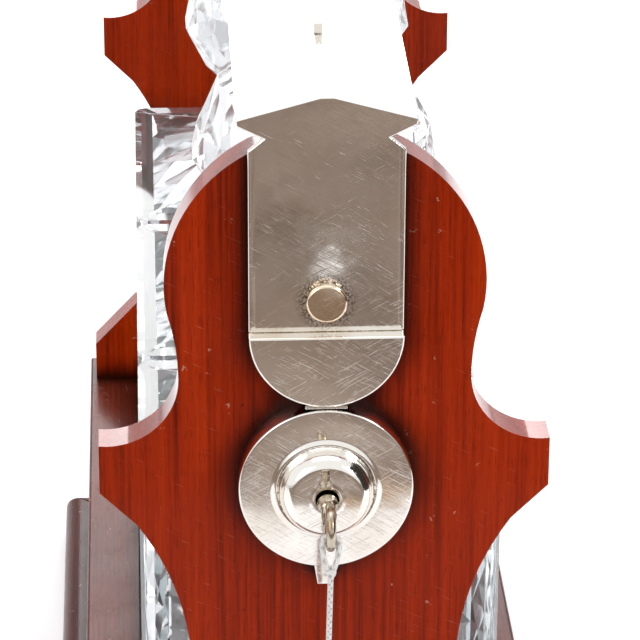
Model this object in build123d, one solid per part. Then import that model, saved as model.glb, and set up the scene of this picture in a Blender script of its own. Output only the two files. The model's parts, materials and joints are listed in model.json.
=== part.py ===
"""An antique three-decanter tantalus, in millimetres.

X runs along the stand with the lock end at +X, -Y is the front, +Z is up.
The origin is the middle of the base's underside.
"""
from math import cos, pi, radians, sin, tan
import os

from build123d import *

# ---- decanters and their spacing -------------------------------------------------
DECANTER_WIDTH = 91.0
DECANTER_GAP = 3.0          # between two decanters
END_GAP = 7.0               # between the outer decanters and the end panels
DECANTER_COUNT = 3
BODY_HEIGHT = 110.0         # from the foot to the rim of the shoulder
BODY_WALL = 6.5
BODY_FLOOR = 11.0
BODY_CORNER = 3.5           # vertical corner radius
CAVITY_CORNER = 9.0
RIM_WIDTH = 5.5             # flat band round the shoulder
SHOULDER_RISE = 9.0
SHOULDER_WALL = 6.0
NECK_RADIUS = 15.0
NECK_HEIGHT = 48.5
LIP_RADIUS = 19.5
LIP_HEIGHT = 5.0
NECK_BORE = 11.0
PLUG_CLEARANCE = 0.35       # between the stopper's plug and the neck

# ---- stoppers ---------------------------------------------------------------------
STOPPER_RADIUS = 31.0       # across the corners, halved, at the girdle
STOPPER_TABLE_RADIUS = 15.0
STOPPER_CROWN_RADIUS = 25.5
STOPPER_PAVILION_RADIUS = 26.5
STOPPER_BASE_RADIUS = 15.5
STOPPER_HEIGHT = 48.0
STOPPER_SIDES = 8
PLUG_LENGTH = 27.0
PLUG_TAPER = 1.4            # the plug is this much slimmer at its end
STOPPER_SEAT_GAP = 0.4

# ---- base -------------------------------------------------------------------------
BAIZE_THICKNESS = 1.0
PLINTH_HEIGHT = 15.0
PLINTH_WIDTH = 10.0         # how far the moulding stands out
PLINTH_ROUND = 7.0
APRON_HEIGHT = 44.0
APRON_THICKNESS = 8.0
DECK_THICKNESS = 12.0
DECK_HALF_WIDTH = 62.0
DECK_OVERHANG = 7.0         # past the outer face of an end panel
DECK_ROUND = 1.2
WELL_CLEARANCE = 1.0        # round each decanter in the deck
WELL_FLOOR_THICKNESS = 6.0
BOTTOM_BOARD_THICKNESS = 5.0
GLUE_BLOCK = 14.0

# ---- end panels -------------------------------------------------------------------
PANEL_THICKNESS = 9.5
EAR_HALF_WIDTH = 55.0
EAR_HALF_EDGE = 6.4
EAR_SLOPE_DEPTH = 9.0       # the straight slope under an ear
LOBE_RADIUS = 38.6
LOBE_CENTRE = 48.5          # above the ears
LOBE_START_ANGLE = -10.5    # where the lobe's circle begins
UPPER_WAIST_HALF = 35.4
UPPER_WAIST = 24.0          # above the ears
LOWER_WAIST_HALF = 33.0
LOWER_WAIST = 57.0          # below the ears
FOOT_HALF_WIDTH = 60.0
FOOT_EDGE = 12.5
FOOT_SLOPE_WIDTH = 14.0
FOOT_SLOPE_HEIGHT = 15.0

# ---- locking bar ------------------------------------------------------------------
BAR_HALF_WIDTH = 21.2
BAR_SHEET = 1.6
BAR_RIDGE_RISE = 5.4
RIDGE_FLAT = 3.2
BAR_ABOVE_LOBE = 3.8        # from the panel's top to the underside of the eaves
BAR_ABOVE_STOPPERS = 7.0    # from the stoppers' tops to the underside of the eaves
STRAP_GAP = 2.3             # between the wood and the back of the strap
STRAP_THICKNESS = 2.0
STRAP_HALF_WIDTH = 18.6
STRAP_LENGTH = 46.5         # from the notch down to the tongue
NOTCH_HALF_WIDTH = 14.8
NOTCH_DEPTH = 3.2           # each slope of the notch, in height
TONGUE_PROUD = 3.3
TONGUE_LAP = 1.5            # thickness of the lap behind the strap
TONGUE_LAP_HEIGHT = 17.0
TONGUE_LAP_HALF = 8.0
STUD_RADIUS = 4.9
STUD_PROUD = 2.6
STUD_ABOVE_TONGUE = 8.3
STUD_SHANK = 2.2
LINK_SPACING = 8.0          # between the two links' middles
LINK_THICKNESS = 1.8
LINK_DEPTH = 3.0
LINK_REACH = 9.6            # below the tongue
LINK_EYE_HEIGHT = 3.2
LINK_EYE_WIDTH = 1.9
HASP_THICKNESS = 1.0        # the web in front, between the links
HASP_ABOVE_EYES = 0.8
HASP_LIP_DEPTH = 2.8           # the rolled lip, forward of the web
HASP_LIP_HALF = 5.1
HASP_LIP_TOP = 0.6             # above the tongue's lowest point
HASP_LIP_GAP = 0.2             # above the drum
FIT = 0.05                  # radial room of a pin in its hole

# ---- carrying handle --------------------------------------------------------------
HANDLE_SPAN = 236.0
HANDLE_RISE = 33.0
HANDLE_DEPTH = 4.6          # at the grip
HANDLE_END_DEPTH = 2.8
HANDLE_END_WIDTH = 2.2
HANDLE_GRIP_WIDTH = 9.0
HANDLE_FOOT_LENGTH = 11.0
HANDLE_RIVET_RADIUS = 0.7
HANDLE_RIVET_HEAD = 1.5
HANDLE_RIVET_REACH = 1.8      # into the foot

# ---- hinge ------------------------------------------------------------------------
HINGE_BELOW_LOBE = 14.0     # the pin, below the panel's top
HINGE_OUT = 4.5             # the pin, outside the panel's face
KNUCKLE_RADIUS = 2.9
PIN_RADIUS = 1.4
KNUCKLE_LENGTH = 11.8
KNUCKLE_GAP = 0.4
HINGE_LEAF_HEIGHT = 40.0
HINGE_LEAF_THICKNESS = 2.0
LEAF_SCREW_RADIUS = 1.6
LEAF_SCREW_HEAD = 3.1
LEAF_SCREW_LENGTH = 8.0
LEAF_SCREW_SIDE = 11.0
LEAF_SCREW_ROWS = (12.0, 30.0)   # below the pin

# ---- lock -------------------------------------------------------------------------
LOCK_BELOW_EARS = 3.0
DRUM_RADIUS = 21.3
DRUM_DEPTH = 7.0
DRUM_WALL = 1.2
BOSS_RADIUS = 12.2
BOSS_FACE_RADIUS = 8.7
BOSS_RISE = 5.8
KEYHOLE_RADIUS = 2.8
KEYWAY_WIDTH = 2.0
KEYWAY_REACH = 6.6
LOCK_RECESS_DEPTH = 4.0
LOCK_RECESS_RADIUS = 17.5
BACK_PLATE_RADIUS = 17.0
BACK_PLATE_THICKNESS = 1.2
BOLT_TRAVEL = 3.6
BOLT_PLATE_HEIGHT = 5.0
FINGER_HEIGHT = 2.2
FINGER_DEPTH = 1.3
POST_WIDTH = 1.4
CAM_RADIUS = 5.2
CAM_THICKNESS = 2.4
CAM_PIN_RADIUS = 0.8
CAM_PIN_ORBIT = 4.0
LUG_WIDTH = 6.0
LUG_LENGTH = 5.8
LUG_DEPTH = 5.2
LOCK_SCREW_RADIUS = 1.1
LOCK_SCREW_HEAD = 2.1
LOCK_SCREW_LENGTH = 4.2
LOCK_SCREW_ORBIT = 13.2

# ---- key and its cord -------------------------------------------------------------
KEY_SHANK_RADIUS = 1.8
KEY_INSERTED = 13.5         # from the boss's face inwards
KEY_BARE = 7.5              # from the boss's face to the bow
BOW_RADIUS = 6.0
BOW_HOLE_RADIUS = 3.4
BOW_THICKNESS = 2.2
COLLAR_RADIUS = 2.6
COLLAR_LENGTH = 1.6
BIT_REACH = 4.6
BIT_WIDTH = 1.4
BIT_LENGTH = 3.0
CORD_RADIUS = 0.7
CORD_KNOT_RADIUS = 1.8
KNOT_FLAT = 0.55            # share of a knot's radius at which its flats lie
CORD_CLEARANCE = 0.3        # between the loop and the bow's sides
LOOP_STRAND = 0.8           # from the middle to each strand at the knot
CORD_LENGTH = 96.0
END_KNOT_RADIUS = 2.2

# ---- fasteners under the deck -----------------------------------------------------
PANEL_SCREW_RADIUS = 2.2
PANEL_SCREW_HEAD = 3.6
PANEL_SCREW_LENGTH = 32.0
PANEL_SCREW_SIDE = 40.0

# ---- places worked out from the sizes above ---------------------------------------
PITCH = DECANTER_WIDTH + DECANTER_GAP
INNER_HALF = (DECANTER_COUNT * DECANTER_WIDTH + (DECANTER_COUNT - 1) * DECANTER_GAP) / 2 + END_GAP
OUTER_HALF = INNER_HALF + PANEL_THICKNESS
DECK_HALF_LENGTH = OUTER_HALF + DECK_OVERHANG
DECK_BOTTOM = BAIZE_THICKNESS + PLINTH_HEIGHT + APRON_HEIGHT
DECK_TOP = DECK_BOTTOM + DECK_THICKNESS
FOOT_Z = DECK_BOTTOM + BAIZE_THICKNESS
RIM_Z = FOOT_Z + BODY_HEIGHT
NECK_Z = RIM_Z + SHOULDER_RISE
LIP_TOP = NECK_Z + NECK_HEIGHT
STOPPER_Z = LIP_TOP + STOPPER_SEAT_GAP
EAVES_BOTTOM = STOPPER_Z + STOPPER_HEIGHT + BAR_ABOVE_STOPPERS
LOBE_TOP = EAVES_BOTTOM - BAR_ABOVE_LOBE
EAR_Z = LOBE_TOP - LOBE_RADIUS - LOBE_CENTRE
EAVES_TOP = EAVES_BOTTOM + BAR_SHEET
RIDGE_TOP = EAVES_TOP + BAR_RIDGE_RISE
STRAP_BACK = OUTER_HALF + STRAP_GAP
STRAP_FRONT = STRAP_BACK + STRAP_THICKNESS
NOTCH_Z = EAVES_BOTTOM - NOTCH_DEPTH
STRAP_TOP = NOTCH_Z - NOTCH_DEPTH
TONGUE_Z = STRAP_TOP - STRAP_LENGTH
TONGUE_FRONT = STRAP_FRONT + TONGUE_PROUD
TONGUE_BOTTOM = TONGUE_Z - STRAP_HALF_WIDTH
LOCK_Z = EAR_Z - LOCK_BELOW_EARS
DRUM_FRONT = OUTER_HALF + DRUM_DEPTH
BOSS_FRONT = DRUM_FRONT + BOSS_RISE
RECESS_BACK = OUTER_HALF - LOCK_RECESS_DEPTH
LINK_BACK = OUTER_HALF + 0.6
LINK_BOTTOM = TONGUE_BOTTOM - LINK_REACH
LINK_EYE_Z = LINK_BOTTOM + 1.4 + LINK_EYE_HEIGHT / 2
HINGE_Z = LOBE_TOP - HINGE_BELOW_LOBE
HINGE_X = -(OUTER_HALF + HINGE_OUT)
BOW_X = BOSS_FRONT + KEY_BARE + BOW_RADIUS
DECANTER_X = [PITCH * (DECANTER_COUNT - 1) / 2 - PITCH * i for i in range(DECANTER_COUNT)]

NODES = {}


def keep(name, *shapes):
    """Store a node made of one or more separate solids."""
    NODES[name] = shapes[0] if len(shapes) == 1 else Compound(children=list(shapes))


def block(x0, x1, y0, y1, z0, z1):
    """An axis-aligned box between two corners."""
    return Pos((x0 + x1) / 2, (y0 + y1) / 2, (z0 + z1) / 2) * Box(x1 - x0, y1 - y0, z1 - z0)


def rod_x(radius, x0, x1, y, z):
    """A round bar along X."""
    return Pos((x0 + x1) / 2, y, z) * Rot(0, 90, 0) * Cylinder(radius, x1 - x0)


def rod_y(radius, y0, y1, x, z):
    """A round bar along Y."""
    return Pos(x, (y0 + y1) / 2, z) * Rot(90, 0, 0) * Cylinder(radius, y1 - y0)


def rod_z(radius, z0, z1, x, y):
    """A round bar along Z."""
    return Pos(x, y, (z0 + z1) / 2) * Cylinder(radius, z1 - z0)


def cone_x(r0, r1, x0, x1, y, z):
    """A cone along X, of radius r0 at x0 and r1 at x1."""
    return Pos((x0 + x1) / 2, y, z) * Rot(0, 90, 0) * Cone(r0, r1, x1 - x0)


def yz_plate(outline, x0, x1):
    """A plate across X from a closed outline of edges drawn as (Y, Z)."""
    face = make_face(outline)
    return extrude(Plane.YZ.offset(x0) * face, amount=x1 - x0, dir=(1, 0, 0))


def polygon_plate(points, x0, x1):
    """A plate across X from a list of (Y, Z) points."""
    return yz_plate(Polyline(*points, close=True), x0, x1)


# ---- base -------------------------------------------------------------------------
def plinth_ring():
    """The whole plinth moulding before it is cut at the mitres."""
    bottom = BAIZE_THICKNESS
    half_x = DECK_HALF_LENGTH + PLINTH_WIDTH
    half_y = DECK_HALF_WIDTH + PLINTH_WIDTH
    outer = block(-half_x, half_x, -half_y, half_y, bottom, bottom + PLINTH_HEIGHT)
    rim = outer.faces().sort_by(Axis.Z)[-1].edges()
    outer = fillet(rim, PLINTH_ROUND)
    inner = block(-DECK_HALF_LENGTH, DECK_HALF_LENGTH, -DECK_HALF_WIDTH, DECK_HALF_WIDTH,
                  bottom - 1, bottom + PLINTH_HEIGHT + 1)
    return outer - inner


def mitre_wedge(front):
    """The space of one long or one short side of the plinth, out to its mitres."""
    reach = PLINTH_WIDTH * 3
    half_x, half_y = DECK_HALF_LENGTH, DECK_HALF_WIDTH
    if front:
        corners = [(-half_x, -half_y), (half_x, -half_y),
                   (half_x + reach, -half_y - reach), (-half_x - reach, -half_y - reach)]
    else:
        corners = [(half_x, -half_y), (half_x, half_y),
                   (half_x + reach, half_y + reach), (half_x + reach, -half_y - reach)]
    face = make_face(Polyline(*corners, close=True))
    return extrude(face, amount=PLINTH_HEIGHT * 2, dir=(0, 0, 1))


def build_base():
    """Plinth, aprons, deck, well floor, bottom board, glue blocks and baize."""
    ring = plinth_ring()
    front = ring & mitre_wedge(True)
    right = ring & mitre_wedge(False)
    keep("plinth_front", front)
    keep("plinth_back", Rot(0, 0, 180) * front)
    keep("plinth_lock_end", right)
    keep("plinth_hinge_end", Rot(0, 0, 180) * right)

    low, high = BAIZE_THICKNESS, DECK_BOTTOM
    inner_y = DECK_HALF_WIDTH - APRON_THICKNESS
    inner_x = DECK_HALF_LENGTH - APRON_THICKNESS
    keep("apron_front", block(-DECK_HALF_LENGTH, DECK_HALF_LENGTH, -DECK_HALF_WIDTH, -inner_y, low, high))
    keep("apron_back", block(-DECK_HALF_LENGTH, DECK_HALF_LENGTH, inner_y, DECK_HALF_WIDTH, low, high))
    keep("apron_lock_end", block(inner_x, DECK_HALF_LENGTH, -inner_y, inner_y, low, high))
    keep("apron_hinge_end", block(-DECK_HALF_LENGTH, -inner_x, -inner_y, inner_y, low, high))

    deck = block(-DECK_HALF_LENGTH, DECK_HALF_LENGTH, -DECK_HALF_WIDTH, DECK_HALF_WIDTH, DECK_BOTTOM, DECK_TOP)
    deck = fillet(deck.faces().sort_by(Axis.Z)[-1].edges(), DECK_ROUND)
    well = DECANTER_WIDTH / 2 + WELL_CLEARANCE
    for x in DECANTER_X:
        deck -= block(x - well, x + well, -well, well, DECK_BOTTOM - 1, DECK_TOP + 1)
    for x, y in panel_screw_places():
        deck -= rod_z(PANEL_SCREW_RADIUS + FIT, DECK_BOTTOM - 1, DECK_TOP + 1, x, y)
    keep("deck", deck)

    floor_half = DECANTER_X[0] + well + 4
    floor_low = DECK_BOTTOM - WELL_FLOOR_THICKNESS
    keep("well_floor", block(-floor_half, floor_half, -inner_y, inner_y, floor_low, DECK_BOTTOM))
    for i, x in enumerate(DECANTER_X, 1):
        pad = well - 0.5
        keep(f"well_baize_{i}", block(x - pad, x + pad, -pad, pad, DECK_BOTTOM, FOOT_Z))
    board_top = BAIZE_THICKNESS + BOTTOM_BOARD_THICKNESS
    keep("bottom_board", block(-inner_x, inner_x, -inner_y, inner_y, BAIZE_THICKNESS, board_top))
    half_x = DECK_HALF_LENGTH + PLINTH_WIDTH - 1
    half_y = DECK_HALF_WIDTH + PLINTH_WIDTH - 1
    keep("base_baize", block(-half_x, half_x, -half_y, half_y, 0, BAIZE_THICKNESS))
    blocks = []
    for sx in (-1, 1):
        for sy in (-1, 1):
            corner = block(inner_x - GLUE_BLOCK, inner_x, inner_y - GLUE_BLOCK, inner_y, board_top, floor_low)
            blocks.append(mirror_to(corner, sx, sy))
    keep("glue_blocks", *blocks)


def mirror_to(shape, sx, sy):
    """Mirror a shape to the side of X and Y that the signs name."""
    if sx < 0:
        shape = mirror(shape, Plane.YZ)
    if sy < 0:
        shape = mirror(shape, Plane.XZ)
    return shape


# ---- end panels -------------------------------------------------------------------
def lobe_start(side):
    """Where the lobe's circle leaves the waist on one side."""
    angle = radians(LOBE_START_ANGLE)
    return (side * LOBE_RADIUS * cos(angle), EAR_Z + LOBE_CENTRE + LOBE_RADIUS * sin(angle))


def panel_side(side):
    """Edges of one side of the panel, from its foot up to the lobe's circle; side is +1 or -1."""
    z = EAR_Z
    foot_top = DECK_TOP + FOOT_EDGE
    foot = (side * FOOT_HALF_WIDTH, foot_top)
    foot_in = (side * (FOOT_HALF_WIDTH - FOOT_SLOPE_WIDTH), foot_top + FOOT_SLOPE_HEIGHT)
    waist = (side * LOWER_WAIST_HALF, z - LOWER_WAIST)
    ear_in = (side * (EAR_HALF_WIDTH - EAR_SLOPE_DEPTH), z - EAR_HALF_EDGE - EAR_SLOPE_DEPTH)
    ear_low = (side * EAR_HALF_WIDTH, z - EAR_HALF_EDGE)
    ear_top = (side * EAR_HALF_WIDTH, z + EAR_HALF_EDGE)
    upper = (side * UPPER_WAIST_HALF, z + UPPER_WAIST)
    return [
        Line((side * FOOT_HALF_WIDTH, DECK_TOP), foot),
        Line(foot, foot_in),
        TangentArc(waist, foot_in, tangent=(0, -1), tangent_from_first=True),
        TangentArc(waist, ear_in, tangent=(0, 1), tangent_from_first=True),
        Line(ear_in, ear_low),
        Line(ear_low, ear_top),
        TangentArc(upper, ear_top, tangent=(0, -1), tangent_from_first=True),
        TangentArc(upper, lobe_start(side), tangent=(0, 1), tangent_from_first=True),
    ]


def end_panel(x0, x1):
    """One shaped end panel between two X planes."""
    foot_line = Line((-FOOT_HALF_WIDTH, DECK_TOP), (FOOT_HALF_WIDTH, DECK_TOP))
    lobe = ThreePointArc(lobe_start(1), (0, LOBE_TOP), lobe_start(-1))
    return yz_plate([foot_line, lobe] + panel_side(1) + panel_side(-1), x0, x1)


def panel_screw_places():
    """The X and Y of each screw that holds the end panels down."""
    mid = (INNER_HALF + OUTER_HALF) / 2
    return [(sx * mid, sy * PANEL_SCREW_SIDE) for sx in (-1, 1) for sy in (-1, 1)]


def build_panels():
    """Both end panels with their recesses and screw holes, and the screws."""
    lock_panel = end_panel(INNER_HALF, OUTER_HALF)
    lock_panel -= rod_x(LOCK_RECESS_RADIUS, RECESS_BACK, OUTER_HALF + 1, 0, LOCK_Z)
    hinge_panel = end_panel(-OUTER_HALF, -INNER_HALF)
    for y, z in leaf_screw_places():
        hinge_panel -= rod_x(LEAF_SCREW_RADIUS + FIT, -OUTER_HALF - 1, -OUTER_HALF + LEAF_SCREW_LENGTH - 1.5, y, z)
    for y, z in lock_screw_places():
        lock_panel -= rod_x(LOCK_SCREW_RADIUS + FIT, RECESS_BACK - LOCK_SCREW_LENGTH, OUTER_HALF + 1, y, z)
    screws = []
    tip = DECK_BOTTOM + PANEL_SCREW_LENGTH
    for x, y in panel_screw_places():
        hole = rod_z(PANEL_SCREW_RADIUS + FIT, DECK_TOP - 1, tip + 0.5, x, y)
        lock_panel -= hole
        hinge_panel -= hole
        head = rod_z(PANEL_SCREW_HEAD, DECK_BOTTOM - 2.4, DECK_BOTTOM, x, y)
        slot = block(x - PANEL_SCREW_HEAD, x + PANEL_SCREW_HEAD, y - 0.5, y + 0.5, DECK_BOTTOM - 3, DECK_BOTTOM - 1.4)
        screws.append(head + rod_z(PANEL_SCREW_RADIUS, DECK_BOTTOM, tip, x, y) - slot)
    keep("lock_end_panel", lock_panel)
    keep("hinge_end_panel", hinge_panel)
    keep("panel_screws", *screws)


# ---- decanters --------------------------------------------------------------------
def square_section(half, corner, z):
    """A square with rounded corners, level at z."""
    return Pos(0, 0, z) * RectangleRounded(2 * half, 2 * half, corner)


def decanter(x):
    """One square decanter: a hollow body, a sloped shoulder, a neck and a lip."""
    half = DECANTER_WIDTH / 2
    body = extrude(square_section(half, BODY_CORNER, FOOT_Z), amount=BODY_HEIGHT)
    slope_half = half - RIM_WIDTH
    shoulder = loft([square_section(slope_half, BODY_CORNER, RIM_Z),
                     square_section(NECK_RADIUS + 4, BODY_CORNER, NECK_Z)], ruled=True)
    neck = rod_z(NECK_RADIUS, NECK_Z - 1, LIP_TOP, 0, 0)
    lip = rod_z(LIP_RADIUS, LIP_TOP - LIP_HEIGHT, LIP_TOP, 0, 0)
    lip = fillet(lip.edges(), LIP_HEIGHT * 0.35)
    outside = body + shoulder + neck + lip
    inside_half = half - BODY_WALL
    inside_top = RIM_Z - SHOULDER_WALL
    cavity = extrude(square_section(inside_half, CAVITY_CORNER, FOOT_Z + BODY_FLOOR),
                     amount=inside_top - FOOT_Z - BODY_FLOOR)
    funnel = loft([square_section(inside_half, CAVITY_CORNER, inside_top),
                   square_section(NECK_BORE, NECK_BORE - 0.5, NECK_Z - 1)], ruled=True)
    bore = Pos(0, 0, (NECK_Z - 2 + LIP_TOP + 1) / 2) * Cone(
        NECK_BORE - PLUG_TAPER, NECK_BORE, LIP_TOP + 1 - (NECK_Z - 2))
    return Pos(x, 0, 0) * (outside - cavity - funnel - bore)


def facet_ring(radius, z, turn=0.0):
    """A level polygon of the stopper's cut."""
    return Pos(0, 0, z) * Rot(0, 0, turn) * RegularPolygon(radius, STOPPER_SIDES)


def stopper(x):
    """One heavy faceted stopper with its ground plug."""
    low, high = STOPPER_Z, STOPPER_Z + STOPPER_HEIGHT
    levels = [(STOPPER_BASE_RADIUS, 0.0), (STOPPER_PAVILION_RADIUS, 0.27), (STOPPER_RADIUS, 0.46),
              (STOPPER_RADIUS - 1.0, 0.58), (STOPPER_CROWN_RADIUS, 0.86), (STOPPER_TABLE_RADIUS, 1.0)]
    turn = 180 / STOPPER_SIDES
    rings = [facet_ring(r, low + share * (high - low), turn) for r, share in levels]
    head = loft(rings, ruled=True)
    top = NECK_BORE - PLUG_CLEARANCE
    share = PLUG_LENGTH / (NECK_HEIGHT + 3)
    tip = top - PLUG_TAPER * share
    plug = Pos(0, 0, low - PLUG_LENGTH / 2) * Cone(tip, top, PLUG_LENGTH)
    return Pos(x, 0, 0) * (head + plug)


def build_glass():
    """Every decanter and its stopper."""
    for i, x in enumerate(DECANTER_X, 1):
        keep(f"decanter_{i}", decanter(x))
        keep(f"stopper_{i}", stopper(x))


# ---- locking bar ------------------------------------------------------------------
def gable_points():
    """Outline of the bar's end: a low gable over its own thickness."""
    half = BAR_HALF_WIDTH
    flat = RIDGE_FLAT / 2
    return [(-half, EAVES_TOP), (-flat, RIDGE_TOP), (flat, RIDGE_TOP), (half, EAVES_TOP),
            (half, EAVES_BOTTOM), (flat, RIDGE_TOP - BAR_SHEET), (-flat, RIDGE_TOP - BAR_SHEET),
            (-half, EAVES_BOTTOM)]


def head_points(bottom, half_width):
    """Outline of an end plate: a gabled head, a notch at each side and a strap."""
    flat = RIDGE_FLAT / 2
    right = [(flat, RIDGE_TOP), (BAR_HALF_WIDTH, EAVES_TOP), (BAR_HALF_WIDTH, EAVES_BOTTOM),
             (NOTCH_HALF_WIDTH, NOTCH_Z), (half_width, STRAP_TOP), (half_width, bottom)]
    left = [(-y, z) for y, z in reversed(right)]
    return right + left


def link(y):
    """One of the two eyed links that go down into the lock."""
    half = LINK_THICKNESS / 2
    front = LINK_BACK + LINK_DEPTH
    plate = block(LINK_BACK, front, y - half, y + half, LINK_BOTTOM, TONGUE_BOTTOM + 6)
    mid = (LINK_BACK + front) / 2
    eye = block(mid - LINK_EYE_WIDTH / 2, mid + LINK_EYE_WIDTH / 2, y - half - 1, y + half + 1,
                LINK_EYE_Z - LINK_EYE_HEIGHT / 2, LINK_EYE_Z + LINK_EYE_HEIGHT / 2)
    return plate - eye


def build_bar():
    """The gabled bar, its lock strap, tongue, stud and links."""
    bar = polygon_plate(gable_points(), -STRAP_BACK, STRAP_BACK)
    for x in handle_rivet_places():
        bar -= rod_z(HANDLE_RIVET_RADIUS + FIT, RIDGE_TOP - BAR_SHEET - 1, RIDGE_TOP + 1, x, 0)
    keep("locking_bar", bar)

    hole = rod_x(STUD_SHANK + FIT, OUTER_HALF, TONGUE_FRONT, 0, TONGUE_Z + STUD_ABOVE_TONGUE)
    strap = polygon_plate(head_points(TONGUE_Z, STRAP_HALF_WIDTH), STRAP_BACK, STRAP_FRONT)
    keep("lock_strap", strap - hole)

    half = STRAP_HALF_WIDTH
    round_edge = [Line((-half, TONGUE_Z), (half, TONGUE_Z)),
                  ThreePointArc((half, TONGUE_Z), (0, TONGUE_BOTTOM), (-half, TONGUE_Z))]
    tongue = yz_plate(round_edge, STRAP_BACK, TONGUE_FRONT)
    front_rim = tongue.faces().sort_by(Axis.X)[-1].edges()
    tongue = fillet(front_rim, 0.6)
    lap_back = STRAP_BACK - TONGUE_LAP
    lap = block(lap_back, STRAP_BACK, -TONGUE_LAP_HALF, TONGUE_LAP_HALF, TONGUE_Z - 6, TONGUE_Z + TONGUE_LAP_HEIGHT)
    keep("lock_tongue", tongue + lap - hole)

    z = TONGUE_Z + STUD_ABOVE_TONGUE
    head = rod_x(STUD_RADIUS, STRAP_FRONT, STRAP_FRONT + STUD_PROUD, 0, z)
    head = fillet(head.faces().sort_by(Axis.X)[-1].edges(), 0.7)
    keep("strap_stud", head + rod_x(STUD_SHANK, lap_back, STRAP_FRONT, 0, z))

    side = LINK_SPACING / 2
    links = link(side) + link(-side)
    bridge = block(LINK_BACK, STRAP_BACK, -side, side, TONGUE_BOTTOM + 2.5, TONGUE_BOTTOM + 6)
    front = LINK_BACK + LINK_DEPTH
    hasp = block(front - HASP_THICKNESS, front, -side, side,
                 LINK_EYE_Z + LINK_EYE_HEIGHT / 2 + HASP_ABOVE_EYES, TONGUE_BOTTOM + 1)
    lip = block(front - HASP_THICKNESS, front + HASP_LIP_DEPTH, -HASP_LIP_HALF, HASP_LIP_HALF,
                LOCK_Z + DRUM_RADIUS + HASP_LIP_GAP, TONGUE_BOTTOM + HASP_LIP_TOP)
    web = links + bridge + hasp + lip
    web -= block(STRAP_BACK, STRAP_BACK + 5, -side - 2, side + 2, TONGUE_BOTTOM - 0.1, TONGUE_BOTTOM + 8)
    keep("lock_links", web)


def handle_rivet_places():
    """The X of each rivet under the handle's feet."""
    half = HANDLE_SPAN / 2
    return [sx * (half - share * HANDLE_FOOT_LENGTH) for sx in (-1, 1) for share in (0.35, 0.75)]


def build_handle():
    """The long bow handle along the bar's ridge, and its rivets."""
    half = HANDLE_SPAN / 2
    low = RIDGE_TOP
    crown = low + HANDLE_RISE
    foot_in = half - HANDLE_FOOT_LENGTH
    outer = [ThreePointArc((-half, low + HANDLE_END_DEPTH), (0, crown), (half, low + HANDLE_END_DEPTH)),
             Line((half, low + HANDLE_END_DEPTH), (half, low)),
             Line((half, low), (foot_in, low)),
             ThreePointArc((foot_in, low), (0, crown - HANDLE_DEPTH), (-foot_in, low)),
             Line((-foot_in, low), (-half, low)),
             Line((-half, low), (-half, low + HANDLE_END_DEPTH))]
    side_face = make_face([Plane.XZ * edge for edge in outer])
    reach = HANDLE_GRIP_WIDTH
    side = Pos(0, -reach, 0) * extrude(side_face, amount=2 * reach, dir=(0, 1, 0))
    wide = HANDLE_GRIP_WIDTH / 2
    end = HANDLE_END_WIDTH / 2
    plan = [ThreePointArc((-half - 0.1, end), (0, wide), (half + 0.1, end)),
            Line((half + 0.1, end), (half + 0.1, -end)),
            ThreePointArc((half + 0.1, -end), (0, -wide), (-half - 0.1, -end)),
            Line((-half - 0.1, -end), (-half - 0.1, end))]
    lens = extrude(Pos(0, 0, low - 1) * make_face(plan), amount=HANDLE_RISE + 3, dir=(0, 0, 1))
    handle = side & lens
    rivets = []
    under = RIDGE_TOP - BAR_SHEET
    for x in handle_rivet_places():
        handle -= rod_z(HANDLE_RIVET_RADIUS + FIT, low - 1, low + HANDLE_RIVET_REACH, x, 0)
        shank = rod_z(HANDLE_RIVET_RADIUS, under, low + HANDLE_RIVET_REACH - FIT, x, 0)
        rivets.append(shank + rod_z(HANDLE_RIVET_HEAD, under - 0.8, under, x, 0))
    keep("carrying_handle", handle)
    keep("handle_rivets", *rivets)


# ---- hinge ------------------------------------------------------------------------
def leaf_screw_places():
    """The Y and Z of each screw through the fixed leaf."""
    return [(sy * LEAF_SCREW_SIDE, HINGE_Z - row) for sy in (-1, 1) for row in LEAF_SCREW_ROWS]


def knuckle(y0, y1):
    """A hinge knuckle round the pin."""
    return rod_y(KNUCKLE_RADIUS, y0, y1, HINGE_X, HINGE_Z) - rod_y(PIN_RADIUS + FIT, y0 - 1, y1 + 1, HINGE_X, HINGE_Z)


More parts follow.
